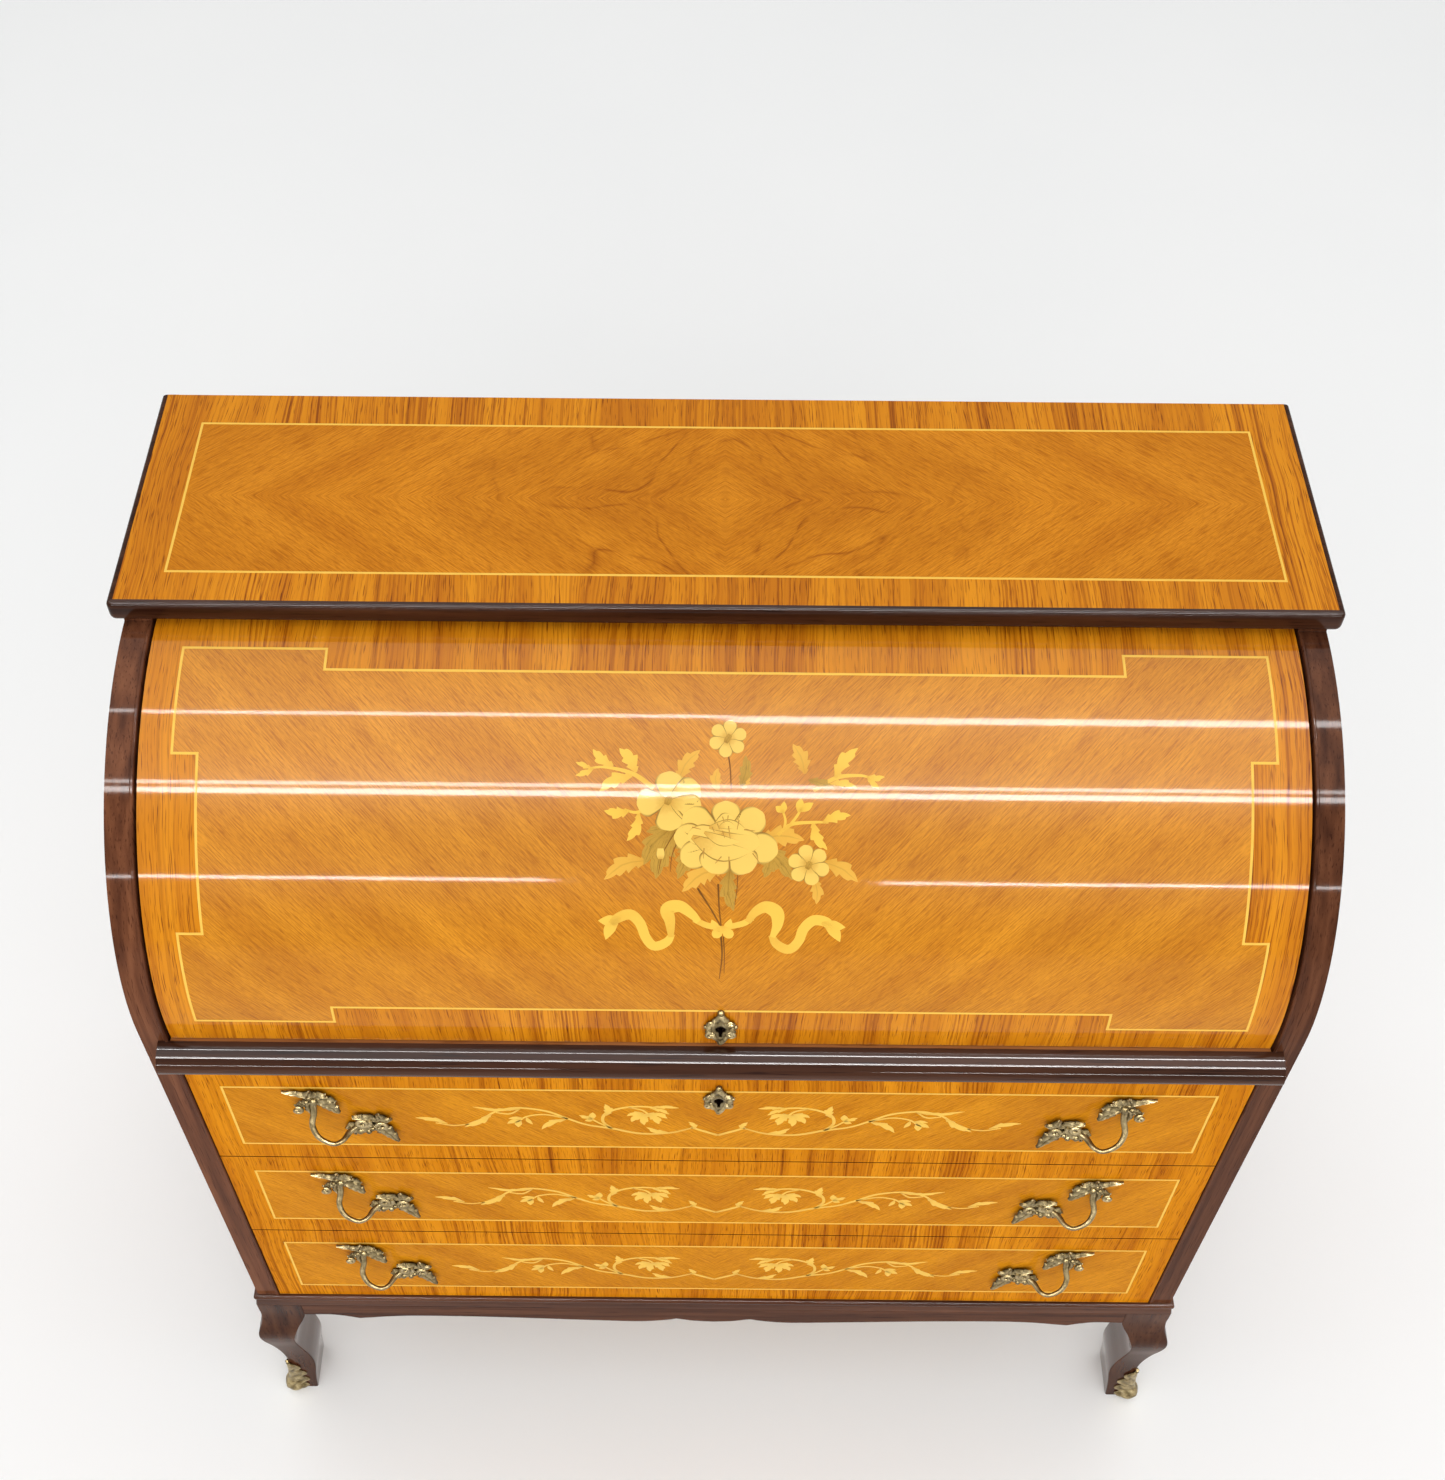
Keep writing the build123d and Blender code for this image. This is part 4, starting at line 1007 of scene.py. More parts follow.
# Bouquet marquetry: petals, leaves and ribbon sawn from pale, tan and olive veneers, shaded with hot sand
# and let into the field. Drawn in millimetres from the ribbon's knot: across, and up the curve.
TOOTH, TOOTH_STEPS = 0.46, 9
FIRST_LIFT, LAYER_LIFT = 0.3, 0.045
THINNEST = 0.25


def heading(spine, i):
    """Which way a spine runs at one of its points."""
    return (spine[min(i + 1, len(spine) - 1)] - spine[max(i - 1, 0)]).normalized()


def blade(points, widths, layer, teeth=0, steps=14):
    """A sawn piece along a curved spine: widths from root to tip, layer in small lifts."""
    steps = max(steps, TOOTH_STEPS * teeth)
    spine = through([Vector(point) for point in points], steps)
    broad = through(widths, steps)
    lift = (FIRST_LIFT + LAYER_LIFT * layer) * MM
    rows = []
    for i, here in enumerate(spine):
        along = heading(spine, i)
        side = Vector((-along.y, along.x))
        half = max(broad[i], THINNEST) / 2
        row = []
        for v in (0, 0.25, 0.5, 0.75, 1):
            stagger = 0.5 if v > 0.5 else 0.0
            notch = 1 - TOOTH * (1 - (i * teeth / steps + stagger) % 1.0) if teeth else 1.0
            spot = here + side * half * notch * (1 - 2 * v)
            row.append((spot.x * MM, spot.y * MM, lift, i / steps, v))
        rows.append(row)
    return rows


def leaf(root, tip, width, bend, layer, teeth=3):
    """A pointed leaf from root to tip that bows sideways by bend."""
    root, tip = Vector(root), Vector(tip)
    side = Vector((root.y - tip.y, tip.x - root.x)).normalized()
    middle = (root + tip) / 2 + side * bend
    widths = [width * 0.25, width * 0.85, width * 1.15, width * 0.8, 0.3]
    return blade([root, middle, tip], widths, layer, teeth)


PETAL_STEPS, PETAL_WIDEST, PETAL_ROOT = 12, 0.6, 0.12


def petal(root, tip, width, layer):
    """A round-ended petal, widest past its middle."""
    widths = []
    for k in range(PETAL_STEPS + 1):
        t = k / PETAL_STEPS
        past = (t - PETAL_WIDEST) / (1 - PETAL_WIDEST)
        full = (t / PETAL_WIDEST) ** 0.55 if t < PETAL_WIDEST else math.sqrt(max(0.0, 1 - past ** 2))
        widths.append(width * max(full, PETAL_ROOT))
    root, tip = Vector(root), Vector(tip)
    return blade([root, (root + tip) / 2, tip], widths, layer, steps=16)


def blossom(middle, radius, petals, layer, turn):
    """A ring of round petals, each lapping the next a little."""
    made = []
    width = 1.5 * radius * math.sin(math.pi / petals)
    for k in range(petals):
        angle = turn + 2 * math.pi * k / petals
        out = Vector((math.cos(angle), math.sin(angle)))
        root, tip = Vector(middle) + out * radius * 0.12, Vector(middle) + out * radius
        made.append(petal(root, tip, width, layer + 0.35 * k / petals))
    return made


def sawn_veneer(name, body, scorched, outline=0.0, vein=0.0, streaks=0.0):
    """Marquetry veneer: scorched at its root, with saw lines along its sides, a cut vein or streaks."""
    made, tree, shader = coated(name, roughness=0.3, coat=LACQUER)
    flat = add(tree, "ShaderNodeUVMap").outputs["UV"]
    parts = add(tree, "ShaderNodeSeparateXYZ", {0: flat})
    along, across = parts.outputs[0], parts.outputs[1]
    fibre = grain(tree, object_place(tree), (420, 420, 420), 2)
    sand = sums(tree, "ADD", along, sums(tree, "MULTIPLY", sums(tree, "SUBTRACT", fibre, 0.5), 0.25))
    wood = tones(tree, sand, (0.0, *scorched), (0.42, *body), (1.0, *[min(1, 1.05 * c) for c in body]))
    off_middle = sums(tree, "ABSOLUTE", sums(tree, "SUBTRACT", across, 0.5), 0.0)
    line = (*[0.42 * c for c in scorched], 1)
    if outline:
        inward = ranged(tree, along, 0.55, 0.95, outline, 0.25 * outline)
        rim = ranged(tree, off_middle, 0.42, 0.475)
        wood = mixed(tree, sums(tree, "MULTIPLY", rim, inward), wood, line)
    if vein:
        wood = mixed(tree, ranged(tree, off_middle, 0.02, 0.07, vein, 0.0), wood, line)
    if streaks:
        fine = grain(tree, flat, (4, 26, 1), 3)
        wood = mixed(tree, ranged(tree, fine, 0.54, 0.66, 0.0, streaks), wood, line)
    tree.links.new(wood, shader.inputs["Base Color"])
    return made


pale_petal = sawn_veneer("pale_petals", (0.80, 0.52, 0.115), (0.62, 0.34, 0.06), outline=1.0)
pale_leaf = sawn_veneer("pale_sprays", (0.82, 0.50, 0.075), (0.74, 0.42, 0.06))
tan_leaf = sawn_veneer("tan_leaves", (0.72, 0.39, 0.06), (0.63, 0.31, 0.04), vein=0.22)
olive_leaf = sawn_veneer("olive_leaves", (0.50, 0.28, 0.045), (0.40, 0.21, 0.03), vein=0.3, streaks=0.7)
brown_line = sawn_veneer("brown_stems", (0.22, 0.085, 0.014), (0.16, 0.06, 0.01))
cut_line = sawn_veneer("engraved_lines", (0.46, 0.24, 0.05), (0.42, 0.21, 0.04))

sprays = [
    blade([(-58, 120), (-76, 132), (-98, 137), (-112, 136)], [4.5, 3.5, 2.2, 1.6], 0),
    leaf((-110, 136), (-123, 141), 5, 0, 0, 2), leaf((-108, 136), (-123, 130), 6, 1, 0, 2),
    leaf((-92, 138), (-109, 152), 10, 2, 0), leaf((-73, 133), (-87, 153), 13, -2, 0),
    leaf((-76, 130), (-103, 117), 12, -3, 0),
    blade([(-58, 106), (-71, 100), (-80, 101)], [3.5, 2.6, 1.8], 0),
    leaf((-78, 101), (-99, 101), 10, 2, 0), leaf((-70, 99), (-80, 76), 10, 3, 0),
    blade([(74, 119), (93, 130), (112, 132), (122, 130)], [3, 3.4, 2.4, 1.6], 0),
    leaf((118, 131), (133, 131), 6, -1, 0, 2), leaf((119, 130), (128, 121), 6, 0, 0, 2),
    leaf((92, 130), (111, 155), 12, 3, 0), leaf((88, 125), (110, 122), 7, 2, 0),
    blade([(45, 82), (56, 91), (75, 93), (84, 93)], [3, 3, 2.4, 1.8], 0),
    leaf((82, 93), (105, 99), 10, 2, 0), leaf((74, 93), (86, 70), 10, -3, 0),
    blade([(50, 86), (51, 95), (48, 104)], [2.6, 2.0, 1.4], 0), leaf((49, 101), (43, 106), 5, 0, 0, 0),
    leaf((49, 100), (50, 110), 5, 0, 0, 0),
    blade([(52, 87), (60, 97), (64, 104)], [2.6, 2.2, 1.8], 0), leaf((62, 101), (64, 113), 6, 0, 0, 0),
    leaf((63, 102), (74, 109), 6, 0, 0, 0)]
tan = [
    leaf((-38, 126), (-20, 152), 14, 3, 0, 4), leaf((67, 133), (57, 158), 14, -2, 0, 4),
    leaf((30, 79), (67, 78), 17, 3, 0, 4), leaf((82, 60), (112, 43), 15, 3, 0),
    leaf((75, 46), (78, 23), 11, 2, 0), leaf((-62, 60), (-99, 43), 16, -5, 0, 4),
    leaf((2, 54), (-34, 33), 18, -5, 0, 5), leaf((16, 120), (20, 133), 11, 1, 0),
    leaf((-5, 118), (-5, 137), 10, 2, 0)]
olive = [
    leaf((6, 54), (9, 16), 15, -3, 0, 4), leaf((30, 72), (58, 44), 17, 4, 0, 4),
    leaf((38, 66), (34, 46), 12, 2, 1), leaf((14, 122), (18, 148), 11, -2, 1),
    leaf((70, 128), (92, 120), 9, 1, 1), leaf((-34, 92), (-56, 44), 25, -6, 0, 5),
    leaf((-42, 88), (-66, 56), 18, -4, 1, 4), leaf((-30, 80), (-38, 44), 16, 3, 1, 4),
    leaf((-46, 92), (-64, 84), 10, 2, 1)]
stems = [
    blade([(3, 150), (5, 138), (6, 120)], [1.0, 1.1, 0.9], 2),
    blade([(-21, 36), (-10, 18), (-1, 1)], [1.6, 1.3, 1.1], 2),
    blade([(-4, 40), (-3, 20), (-1, 1)], [1.5, 1.2, 1.1], 2),
    blade([(-1, -8), (0, -28), (-2, -52)], [1.6, 1.3, 0.7], 2),
    blade([(1, -8), (2, -26), (2, -46)], [0.9, 0.8, 0.5], 2),
    blade([(12, 60), (12, 40), (10, 22)], [0.5, 0.6, 0.4], 3),
    blade([(-40, 84), (-50, 66), (-54, 48)], [0.6, 0.7, 0.4], 3),
    blade([(-34, 84), (-42, 66), (-44, 50)], [0.6, 0.7, 0.4], 3)]
hearts = [blade([(1, 158.5), (3, 162), (5, 165.5)], [3.5, 5.0, 3.5], 6, steps=6),
          blade([(69.5, 53.8), (71, 57), (72.5, 60)], [3.5, 5.0, 3.5], 6, steps=6),
          blade([(-47.5, 106.5), (-46, 110), (-44.5, 113.5)], [4.0, 6.0, 4.0], 6, steps=6)]
petals = blossom((3, 162), 16, 6, 3, turn=0.35) + blossom((71, 57), 17.5, 6, 4, turn=0.75)
petals += [petal((-46, 108), (-44, 134), 25, 2.0), petal((-48, 110), (-72, 107), 24, 2.1),
           petal((-44, 111), (-20, 122), 24, 2.2), petal((-47, 108), (-43, 85), 25, 2.3),
           petal((-44, 109), (-19, 101), 24, 2.4)]
petals += [petal((2, 84), (2, 110), 25, 3.6), petal((6, 82), (33, 100), 25, 3.7),
           petal((-4, 82), (-33, 99), 27, 3.6), petal((-6, 78), (-41, 80), 25, 3.8),
           petal((8, 78), (45, 67), 27, 3.9), petal((-4, 74), (-35, 60), 25, 4.0),
           petal((6, 74), (23, 51), 27, 4.1), petal((0, 74), (-11, 50), 28, 4.2)]
petals += [petal((4, 84), (-30, 80), 18, 4.6), petal((-2, 82), (30, 74), 20, 4.7),
           petal((-8, 88), (8, 96), 15, 4.8), leaf((-26, 80), (24, 68), 15, -6, 5.0, 0),
           leaf((-12, 88), (22, 82), 10, 4, 5.3, 0), leaf((-16, 84), (14, 76), 8, -3, 5.6, 0),
           leaf((-4, 88), (10, 88), 6, 2, 5.9, 0),
           blade([(-52, 61), (-52, 65), (-52, 70)], [5, 7.5, 5], 4, steps=8)]
# Strokes engraved on the big rose, each from its start to its end
strokes = [(-9.4, 88.2, -7.5, 83.9), (-5.2, 91.2, -3.4, 86.3), (4.1, 89.2, 5.6, 78.4),
           (-0.9, 85.3, 0.9, 79.4), (12.7, 94.1, 11.2, 86.3), (16.9, 86.3, 26.2, 85.3),
           (3.7, 98, 3.2, 93), (-0.9, 97, 0.4, 92), (-26, 88, -18.7, 86.3), (-24.3, 78.4, -18.7, 80.4),
           (-16, 70.6, -16.5, 61.8), (-1.5, 63.7, -6.6, 57.8), (4.7, 63.7, 4.9, 52),
           (24.3, 66.7, 30.9, 57.8)]
engraved = [blade([(x0, y0), (x1, y1)], [0.9, 0.5], 6.6, steps=4) for x0, y0, x1, y1 in strokes]
ribbon = [
    blade([(-93, 3), (-87, 9), (-77, 12), (-69, 4), (-64, -10), (-57, -18), (-47, -14), (-42, -6)],
          [6, 9, 9.5, 9, 8.5, 9, 8, 5], 2, steps=40),
    blade([(-43, -9), (-44, 6), (-46, 17), (-36, 20), (-26, 13), (-20, 6)],
          [4.5, 9, 12, 10.5, 8, 5.5], 3, steps=36),
    blade([(-24, 8), (-14, 3), (-6, 1), (-1, 0)], [5, 5.5, 5, 4], 2, steps=18),
    leaf((-85, 8), (-104, 6), 9, 1, 2, 0), leaf((-87, 8), (-98, -12), 8.5, -2, 2, 0),
    blade([(1, 0), (8, 2), (18, 5), (25, 10)], [4, 5, 5.5, 5], 2, steps=18),
    blade([(21, 6), (27, 15), (36, 20), (45, 15), (46, 4), (42, -8)],
          [5.5, 8, 10.5, 12, 9, 4.5], 3, steps=36),
    blade([(41, -6), (46, -15), (56, -20), (64, -12), (68, 0), (76, 8), (86, 7), (92, 2)],
          [5, 8, 9, 8.5, 9, 9.5, 9, 6], 2, steps=40),
    leaf((83, 6), (103, 2), 9, -1, 2, 0), leaf((85, 6), (99, -12), 8.5, 2, 2, 0),
    leaf((-2, -3), (-9, 8), 6, 1, 4, 0), leaf((1, -3), (7, 9), 6, -1, 4, 0),
    petal((0, 2), (-7, -9), 9, 4), petal((0, 2), (8, -9), 9, 4.5)]
KNOT_DEGREES = 28.8
knot = up_curve(KNOT_DEGREES)
bouquet = [("sprays", sprays, pale_leaf), ("tan_leaves", tan, tan_leaf), ("olive_leaves", olive, olive_leaf),
           ("stems", stems, brown_line), ("petals", petals, pale_petal), ("hearts", hearts, olive_leaf),
           ("engraving", engraved, cut_line), ("ribbon", ribbon, pale_leaf)]
for name, pieces, finish in bouquet:
    lifted = [[[(x, s + knot, lift, u, v) for x, s, lift, u, v in row] for row in rows] for rows in pieces]
    rolled_piece(f"bouquet_{name}", lifted, VENEER, finish)


# Long drawers: thick veneered fronts on pale boxes. Each front has upright crossbanding, two matched leaves
# inside a string, and a scroll of vine leaves inlaid from the middle to both sides.
box_wood = lining_wood("drawer_side_wood", (60, 3, 60), round_corner=True)
paint(box_wood, "drawer_1_box", "drawer_2_box", "drawer_3_box")
floor_wood = lining_wood("drawer_floor_wood", (2, 45, 45), light=0.9)
paint(floor_wood, "drawer_1_floor", "drawer_2_floor", "drawer_3_floor")
paint(steel, "drawer_1_lock", "drawer_1_bolt")

# Half of a drawer's scroll, from the middle outwards, in millimetres
vine = [
    blade([(0, -30), (15, -21), (26, -14)], [3.2, 3.4, 2.6], 0),
    leaf((22, -17), (28, -3), 6.5, 2, 1, 2),
    blade([(24, -15), (46, -26), (74, -28), (101, -18), (124, -11), (142, 1), (162, 16), (189, 22),
           (209, 14), (222, 0), (240, -14)],
          [2.0, 2.8, 3.2, 3.4, 2.6, 3.0, 3.0, 2.8, 2.6, 2.4, 1.8], 0, steps=60),
    blade([(236, -12), (252, -15), (268, -10)], [2.0, 1.8, 1.6], 0),
    leaf((257, -11), (286, 0), 8.5, 3, 1, 2), leaf((214, 9), (241, -18), 9, -3, 1, 3),
    leaf((186, 20), (230, 23), 6, -4, 1, 2), blade([(186, 20), (196, 10), (209, 12)], [1.6, 2.4, 1.6], 1),
    blade([(142, 1), (163, 9), (180, 5), (188, -4)], [2.4, 2.4, 2.2, 1.8], 0),
    leaf((186, -2), (200, -10), 6, 1, 1, 0), leaf((187, -3), (190, -17), 6, 1, 1, 0),
    leaf((184, 1), (198, 0), 5, 1, 1, 0), leaf((181, 3), (176, -11), 4, 1, 1, 0),
    leaf((144, 0), (168, -21), 9, 4, 1, 2),
    blade([(101, -18), (112, -8), (121, 3)], [2.2, 2.2, 2.0], 0),
    leaf((119, 1), (131, 8), 7, 0, 1, 2), leaf((119, 1), (118, 14), 6, 0, 1, 0),
    leaf((118, 0), (126, -3), 5, 0, 1, 0),
    blade([(101, -18), (109, -4), (106, 12), (92, 23), (74, 27), (58, 25)],
          [2.8, 3.0, 3.2, 3.0, 2.8, 2.4], 0, steps=30),
    leaf((106, 8), (106, 31), 9, 3, 1, 3), leaf((62, 26), (37, 25), 6.5, -1, 1, 2),
    leaf((64, 24), (46, 12), 6.5, -2, 1, 2),
    blade([(84, 25), (72, 20), (66, 12)], [2.0, 2.2, 2.4], 0),
    leaf((68, 12), (82, -4), 10, 3, 1, 2), leaf((67, 13), (70, -10), 10, 2, 2, 2),
    leaf((66, 12), (56, -8), 10, -2, 1, 2), leaf((66, 13), (48, 4), 9, -3, 2, 2),
    leaf((70, 14), (86, 8), 8, 2, 2, 2),
    leaf((46, -26), (68, -15), 8, -3, 1, 2)]
scroll_grids = vine + [other_hand(rows) for rows in vine]

STRING_X = 458.6 * MM
KEY_MARGIN = 8 * MM
# Foot and head of each drawer's string, above the floor
string_levels = {1: (649.2 * MM, 763.5 * MM), 2: (477.2 * MM, 588.1 * MM), 3: (302.0 * MM, 415.6 * MM)}
drawer_leaf = matched_field("drawer_leaves", 44, (0.97, 1.0, 0.7), coat=THIN_LACQUER)
plate_low, plate_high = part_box("drawer_1_escutcheon")
keyhole = (plate_low + plate_high) / 2 - EYE_TO_SLOT
# The drawers' band carries painted shade on its upward faces, for the gaps between the drawers, and round
# the keyhole.
drawer_band = crossband("drawer_crossband", keyhole, coat=0.1, painted_gap_shade=True)
for number, (low, high) in string_levels.items():
    body = f"drawer_{number}"
    paint(drawer_band, f"{body}_front")
    front_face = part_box(f"{body}_front")[0].y
    middle = (low + high) / 2
    face = plane((0, front_face, middle), (1, 0, 0), (0, 0, 1))
    half = (high - low) / 2
    fold = (0, -number)
    leaves = [sheet(-STRING_X, STRING_X, -half, half, VENEER_LIFT, 12, 2, fold)]
    # The field leaves a gap round the keyhole, where the band's painted shade shows through.
    if f"{body}_escutcheon" in nodes:
        plate_low, plate_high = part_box(f"{body}_escutcheon")
        left, right = plate_low.x / 2, plate_high.x / 2
        leaves = [sheet(-STRING_X, left, -half, half, VENEER_LIFT, 6, 2, fold),
                  sheet(left, right, -half, plate_low.z + KEY_MARGIN - middle, VENEER_LIFT, 1, 1, fold),
                  sheet(right, STRING_X, -half, half, VENEER_LIFT, 6, 2, fold)]
    mounted(thin_piece(f"{body}_field", leaves, VENEER, drawer_leaf, face), body)
    border = string(oblong(-STRING_X, STRING_X, -half, half), STRING_WIDTH, STRING_LIFT)
    line = thin_piece(f"{body}_string", [border], VENEER, pale_string, face)
    mounted(line, body)
    scroll = thin_piece(f"{body}_scroll", scroll_grids, VENEER, pale_leaf, face)
    mounted(scroll, body)


# Drawer pulls: cast brass in the rococo manner. A curled leaf spray at the outer top and another at the
# inner foot are screwed to the front, and a slim grooved bow swings out from one to the other.
LEAF_STAND, LEAF_TOOTH, LEAF_THINNEST = 0.6, 0.34, 0.5
LEAF_ACROSS = 8
MIDRIB_CUT, MIDRIB_WIDTH = 0.7, 0.09


def cast_leaf(points, widths, heights, crown, teeth, steps=24):
    """A raised leaf: a spine, widths and heights from root to tip, a crown across and a cut midrib."""
    spine = through([Vector(point) for point in points], steps)
    broad = through(widths, steps)
    raised = through(heights, steps)
    rows = []
    for i, here in enumerate(spine):
        along = heading(spine, i)
        side = Vector((-along.y, along.x))
        notch = 1 - LEAF_TOOTH * ((i * teeth / steps) % 1.0)
        half = max(broad[i], LEAF_THINNEST) / 2 * notch
        row = []
        for k in range(LEAF_ACROSS + 1):
            v = k / LEAF_ACROSS
            spot = here + side * half * (1 - 2 * v)
            midrib = MIDRIB_CUT * math.exp(-((v - 0.5) / MIDRIB_WIDTH) ** 2)
            veins = math.cos(math.pi * (teeth * i / steps - 1.1 * abs(2 * v - 1)))
            swell = (max(0.0, 1 - (2 * v - 1) ** 2) ** 0.7 - midrib) * (0.62 + 0.38 * abs(veins))
            height = LEAF_STAND * raised[i] + crown * swell
            # The leaf's swell goes into the brass's map: painted shade at its edges and in the midrib,
            # lighter where it swells.
            row.append((spot.x * MM, spot.y * MM, height * MM, swell, v))
        rows.append(row)
    return rows


ROD_THINNEST = 0.2


def cast_rod(points, radii, groove=0.0, steps=26, sides=14):
    """A round rod along a curve in the drawing's across, up and outward directions."""
    spine = through([Vector(point) for point in points], steps)
    thick = through(radii, steps)
    normal = None
    rows = []
    for i, here in enumerate(spine):
        along = heading(spine, i)
        if normal is None:
            normal = along.orthogonal()
        normal = (normal - along * normal.dot(along)).normalized()
        side = along.cross(normal)
        row = []
        for k in range(sides + 1):
            turn = 2 * math.pi * k / sides
            out = normal * math.cos(turn) + side * math.sin(turn)
            hollow = 1 - groove * max(0.0, out.z) ** 6
            spot = here + out * max(thick[i], ROD_THINNEST) * hollow
            # Its map for the brass: a painted highlight on the side that faces out, painted shade on the
            # side towards the wood and in the groove.
            relief = 0.45 + 0.5 * out.z - 2.0 * (1 - hollow)
            row.append((spot.x * MM, spot.y * MM, spot.z * MM, relief, k / sides))
        rows.append(row)
    return rows


BEAD_RINGS = 8


def cast_bead(x, y, z, radius):
    """A small round bead."""
    turns = [math.pi * k / BEAD_RINGS for k in range(BEAD_RINGS + 1)]
    points = [(x, y, z - radius * math.cos(turn)) for turn in turns]
    radii = [radius * math.sin(turn) for turn in turns]
    return cast_rod(points, radii, steps=BEAD_RINGS, sides=12)


CURL_POINTS, CURL_WIND, CURL_RISE = 12, 0.72, 1.5


def curl(x, y, z, radius, turns, start, rod):
    """A small volute that winds inwards and rises."""
    points = []
    for k in range(CURL_POINTS + 1):
        angle = start + 2 * math.pi * turns * k / CURL_POINTS
        reach = radius * (1 - CURL_WIND * k / CURL_POINTS)
        rise = CURL_RISE * k / CURL_POINTS
        points.append((x + reach * math.cos(angle), y + reach * math.sin(angle), z + rise))
    return cast_rod(points, [rod, rod, rod * 0.9, rod * 0.7], steps=30, sides=10)


# The right-hand pull in millimetres from its middle: across, up and out
right_pull = [
    cast_leaf([(19, 30), (34, 37), (51, 45)], [15, 13, 9, 0.8], [2.5, 4, 5.5], 3.2, 3),
    cast_leaf([(22, 29), (32, 23), (41, 19)], [13, 12, 8], [2.5, 5, 8], 3.2, 3),
    curl(39.5, 17.5, 8, 5.0, 1.2, 1.4, 1.9),
    cast_leaf([(26, 30), (19, 38), (11, 40)], [13, 17, 8], [2.5, 6, 7.5], 3.4, 3),
    cast_leaf([(27, 29), (28, 38), (25, 45)], [12, 13, 5], [2.5, 5.5, 6], 3.0, 3),
    cast_leaf([(24, 28), (12, 22), (2, 10)], [12, 18, 17, 4], [3, 7, 9], 3.6, 4),
    cast_leaf([(18, 32), (10, 30), (4, 26)], [9, 12, 5], [3, 5, 5.5], 2.6, 2),
    cast_leaf([(27, 27), (29, 17), (27, 7)], [15, 14, 8], [3.5, 7, 9], 3.2, 3),
    cast_bead(23.5, 28, 4.5, 4.2), cast_bead(30.5, 27, 5, 2.6), cast_bead(18, 33.5, 5, 2.3),
    cast_bead(27, 34, 4.6, 2.1),
    cast_rod([(25, 24, 3), (25.8, 10, 6.5), (27.8, -1, 14.5), (22, -11, 22), (10, -17.7, 25),
              (1.7, -20, 20.5), (-4, -22, 10), (-10, -22.5, 4)],
             [2.2, 3.0, 2.9, 2.5, 2.3, 2.4, 3.0, 2.6], 0.3, steps=44),
    cast_leaf([(0, -22), (-12, -27), (-27, -22)], [12, 24, 22, 10], [5, 5, 3.5], 4.0, 4),
    cast_leaf([(-30, -13), (-20, -5), (-8, -3)], [11, 13, 6], [2.5, 5.5, 7], 3.2, 3),
    curl(-16.5, -13.5, 4.5, 7.5, 1.4, 2.6, 2.3),
    cast_leaf([(-6, -24), (-8, -31), (-6, -38)], [9, 10, 4], [4, 5.5, 6], 2.6, 2),
    cast_bead(-12, -31, 4.4, 3.6), cast_bead(-20, -31.5, 4.4, 3.1), cast_bead(-24.5, -26, 4.6, 2.5),
    cast_bead(-30.5, -26, 4.6, 2.3),
    cast_leaf([(-29, -15), (-36, -10), (-44, -5)], [10, 15, 12, 5], [2.5, 5.5, 7.5], 3.2, 2),
    cast_leaf([(-31, -14), (-34, -6), (-32, 2)], [9, 13, 5], [2.5, 5.5, 6.5], 3.0, 2),
    cast_leaf([(-27, -21), (-35, -29), (-47, -47)], [13, 22, 17, 3], [2.5, 6, 9], 3.6, 4),
    curl(-34, -19.5, 4.5, 5.5, 1.1, 0.4, 2.0)]

chased_brass = antique_brass("chased_brass", chased=True)
PULL_X = 352 * MM
PULL_RISE = 11 * MM
PULL_SHELL = 2.0 * MM
castings = {"right": right_pull, "left": [other_hand(rows) for rows in right_pull]}
for number in (1, 2, 3):
    front_low, front_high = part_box(f"drawer_{number}_front")
    pull_z = (front_low.z + front_high.z) / 2 + PULL_RISE
    for hand, sign in (("right", 1), ("left", -1)):
        place = plane((sign * PULL_X, front_low.y, pull_z), (1, 0, 0), (0, 0, 1))
        pull = thin_piece(f"cast_pull_{number}_{hand}", castings[hand], PULL_SHELL, chased_brass, place)
        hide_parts(f"drawer_{number}_pull_{hand}")
        mounted(pull, f"drawer_{number}")


# Escutcheons: small cast plates round the keyholes of the rolling front and the top drawer. A lozenge with
# a bead at its head and foot and scrolled sides, thicker at the rim than round the hole.
KEY_EYE, KEY_FOOT, KEY_HALF = 4.6, 11.5, 2.2


def keyhole_reach(angle):
    """How far the keyhole reaches from its eye, at an angle from straight down."""
    if math.cos(angle) <= 0:
        return KEY_EYE
    return max(KEY_EYE, min(KEY_FOOT, KEY_HALF / max(abs(math.sin(angle)), 0.01)))


LOZENGE_HALF_X, LOZENGE_HALF_Z = 15, 23.5
OVAL_HALF_X, OVAL_HALF_Z = 12.5, 21


def plate_reach(angle):
    """How far the plate reaches from the eye, at an angle from straight down."""
    lozenge = 1 / (abs(math.sin(angle)) / LOZENGE_HALF_X + abs(math.cos(angle)) / LOZENGE_HALF_Z)
    oval = 1 / math.hypot(math.sin(angle) / OVAL_HALF_X, math.cos(angle) / OVAL_HALF_Z)
    scrolls = 1.4 * math.cos(6 * angle) + 0.9 * math.cos(14 * angle)
    return 0.55 * lozenge + 0.45 * oval + scrolls


PLATE_RINGS, PLATE_SPOKES = 18, 112
PLATE_THICK, PLATE_RELIEF = 1.5, 2.4


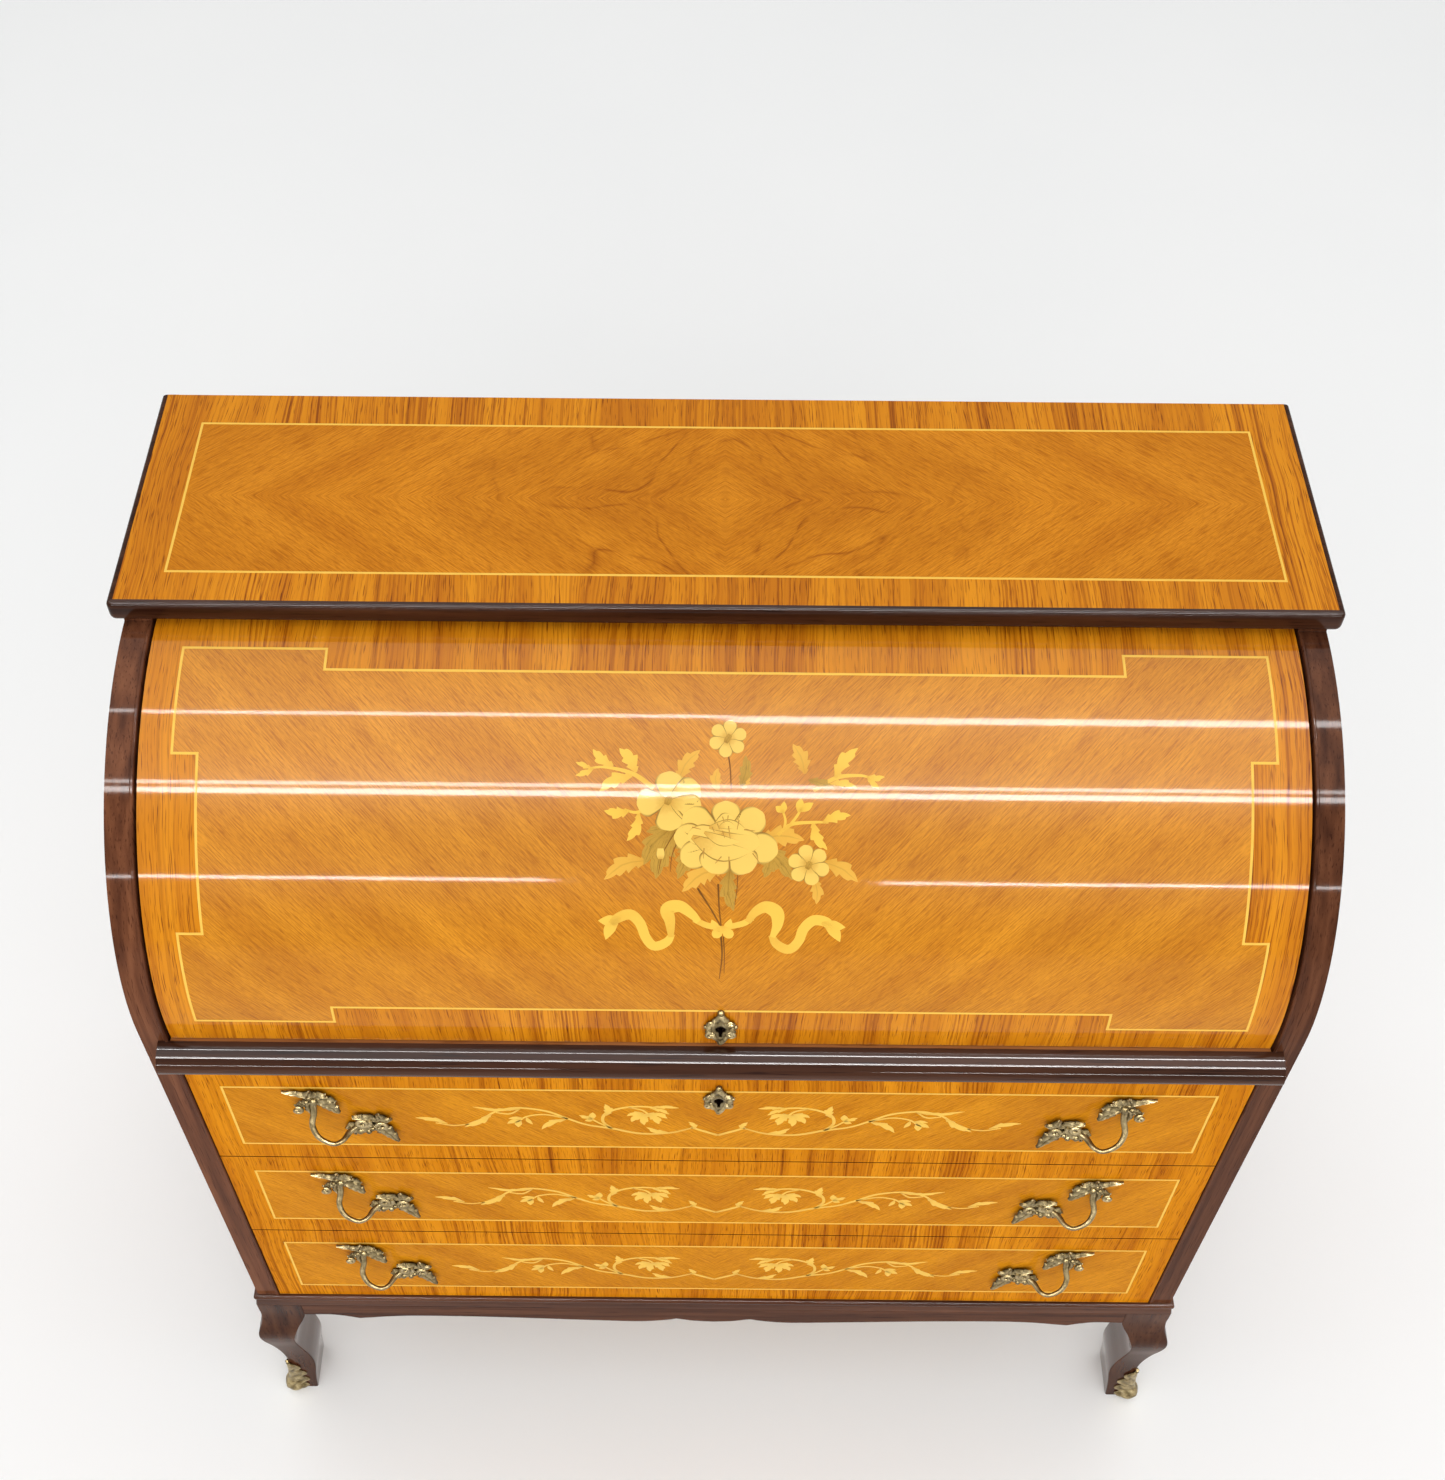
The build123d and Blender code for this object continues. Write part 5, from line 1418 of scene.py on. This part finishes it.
def plate_castings(height):
    """An escutcheon drawn in millimetres round its keyhole, which lies at a height up the drawing."""
    rows = []
    for r in range(PLATE_RINGS + 1):
        share = r / PLATE_RINGS
        row = []
        for k in range(PLATE_SPOKES + 1):
            angle = 2 * math.pi * k / PLATE_SPOKES
            reach = keyhole_reach(angle) * (1 - share) + plate_reach(angle) * share
            rim = math.exp(-((share - 0.74) / 0.13) ** 2) * (0.75 + 0.45 * math.cos(9 * angle + 6 * share))
            lip = 0.35 * math.exp(-((share - 0.2) / 0.1) ** 2)
            relief = min(1.0, rim + lip)
            # The brass's map: painted shade round the keyhole and in the low field, a painted highlight on
            # the rim.
            shine = (0.3 + 0.7 * relief) * min(1.0, share / 0.14)
            row.append((reach * math.sin(angle) * MM, height - reach * math.cos(angle) * MM,
                        (PLATE_THICK + PLATE_RELIEF * relief) * MM, shine, k / PLATE_SPOKES))
        rows.append(row[::-1])
    up = height / MM
    castings = [rows[::-1], cast_bead(0, up + 23, 2.0, 3.2), cast_bead(0, up + 17, 3.0, 2.2),
                cast_bead(0, up - 22, 2.0, 3.0)]
    for side in (-1, 1):
        inward = 0 if side < 0 else math.pi
        castings += [curl(side * 9.2, up - 9, 2.6, 4.2, -side * 1.25, inward - side * 0.5, 1.4),
                     curl(side * 7.8, up + 9.5, 2.6, 3.7, side * 1.2, inward - side * 0.2, 1.3),
                     cast_bead(side * 13, up + 3, 2.0, 2.0)]
    return castings


PLATE_SHELL = 1.5 * MM
low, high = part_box("cylinder_escutcheon")
plate_up = up_curve(math.degrees(math.asin(((low.z + high.z) / 2 - pivot.z) / roll_radius)))
plate = rolled_piece("cast_escutcheon_front", plate_castings(plate_up), PLATE_SHELL, chased_brass)
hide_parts("cylinder_escutcheon")
low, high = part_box("drawer_1_escutcheon")
place = plane((0, high.y, (low.z + high.z) / 2), (1, 0, 0), (0, 0, 1))
plate = thin_piece("cast_escutcheon_drawer", plate_castings(0), PLATE_SHELL, chased_brass, place)
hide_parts("drawer_1_escutcheon")
mounted(plate, "drawer_1")


# Toe shoes: cast brass acanthus leaves wrapped round the outer corner of each foot and pinned there.
# The leaf points up the corner, its notched sides lie on both faces and its foot swells over the toe.
SHOE_TALL, SHOE_BROAD, SHOE_LOBES = 74.0, 23, 4
SHOE_ROWS, HALF_COLUMNS = 60, 14
TOE_TALL, TOE_SWELL = 22, 6.5
FLOOR_GAP, CORNER_ROUND = 0.4, 3.0
SHOE_LIFT, SHOE_RELIEF, TIP_LIFT = 1.2, 2.2, 1.6
SCALLOP_CUT, RIB_WIDTH = 0.36, 0.12


def toe_shoe(corner_x, front_y, front_curve):
    """A shoe on the corner of a right-hand foot; it follows the leg's curves."""
    rows = []
    for i in range(SHOE_ROWS + 1):
        t = i / SHOE_ROWS
        z = SHOE_TALL * t
        edge_x = corner_x / MM + on_curve(leg_outer, z)
        edge_y = front_y / MM - on_curve(front_curve, z)
        scallop = 1 - SCALLOP_CUT * (1 - abs(math.cos(math.pi * (SHOE_LOBES * t - 1.4))))
        spread = SHOE_BROAD * math.sin(math.pi * (0.24 + 0.755 * t)) ** 0.6 * scallop + 0.4
        toe = math.sin(math.pi * z / TOE_TALL) if z < TOE_TALL else 0.0
        row = []
        for k in range(-HALF_COLUMNS, HALF_COLUMNS + 1):
            c = k / HALF_COLUMNS
            q = c * spread
            bend = math.hypot(q, CORNER_ROUND)
            normal = Vector((1 + q / bend, q / bend - 1, 0)).normalized()
            flute = abs(math.cos(math.pi * (SHOE_LOBES * t - 1.4 * abs(c))))
            rib = math.exp(-(c / RIB_WIDTH) ** 2)
            relief = max(0.9 * rib, 0.4 + 0.6 * flute)
            lift = SHOE_LIFT + SHOE_RELIEF * relief * (1 - abs(c) ** 4)
            lift += TOE_SWELL * toe * (1 - c * c) + TIP_LIFT * t ** 6
            x = edge_x - (bend - q) / 2 + normal.x * lift
            y = edge_y + (bend + q) / 2 + normal.y * lift
            # The map for the brass: painted shade in the flutes, lighter on the ribs.
            row.append((x * MM, y * MM, (z + FLOOR_GAP) * MM, 0.1 + 0.8 * relief, (c + 1) / 2))
        rows.append(row)
    return rows


SHOE_SHELL = 2.4 * MM
leg_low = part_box("leg_rear_right")[0]
shoes = [toe_shoe(side_high.x, side_low.y, leg_front), toe_shoe(side_high.x, leg_low.y, leg_flat)]
shoes += [other_hand(rows) for rows in shoes]
shoe_piece = thin_piece("toe_shoes", shoes, SHOE_SHELL, chased_brass, None)
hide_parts("sabots")
mounted(shoe_piece, "carcass")
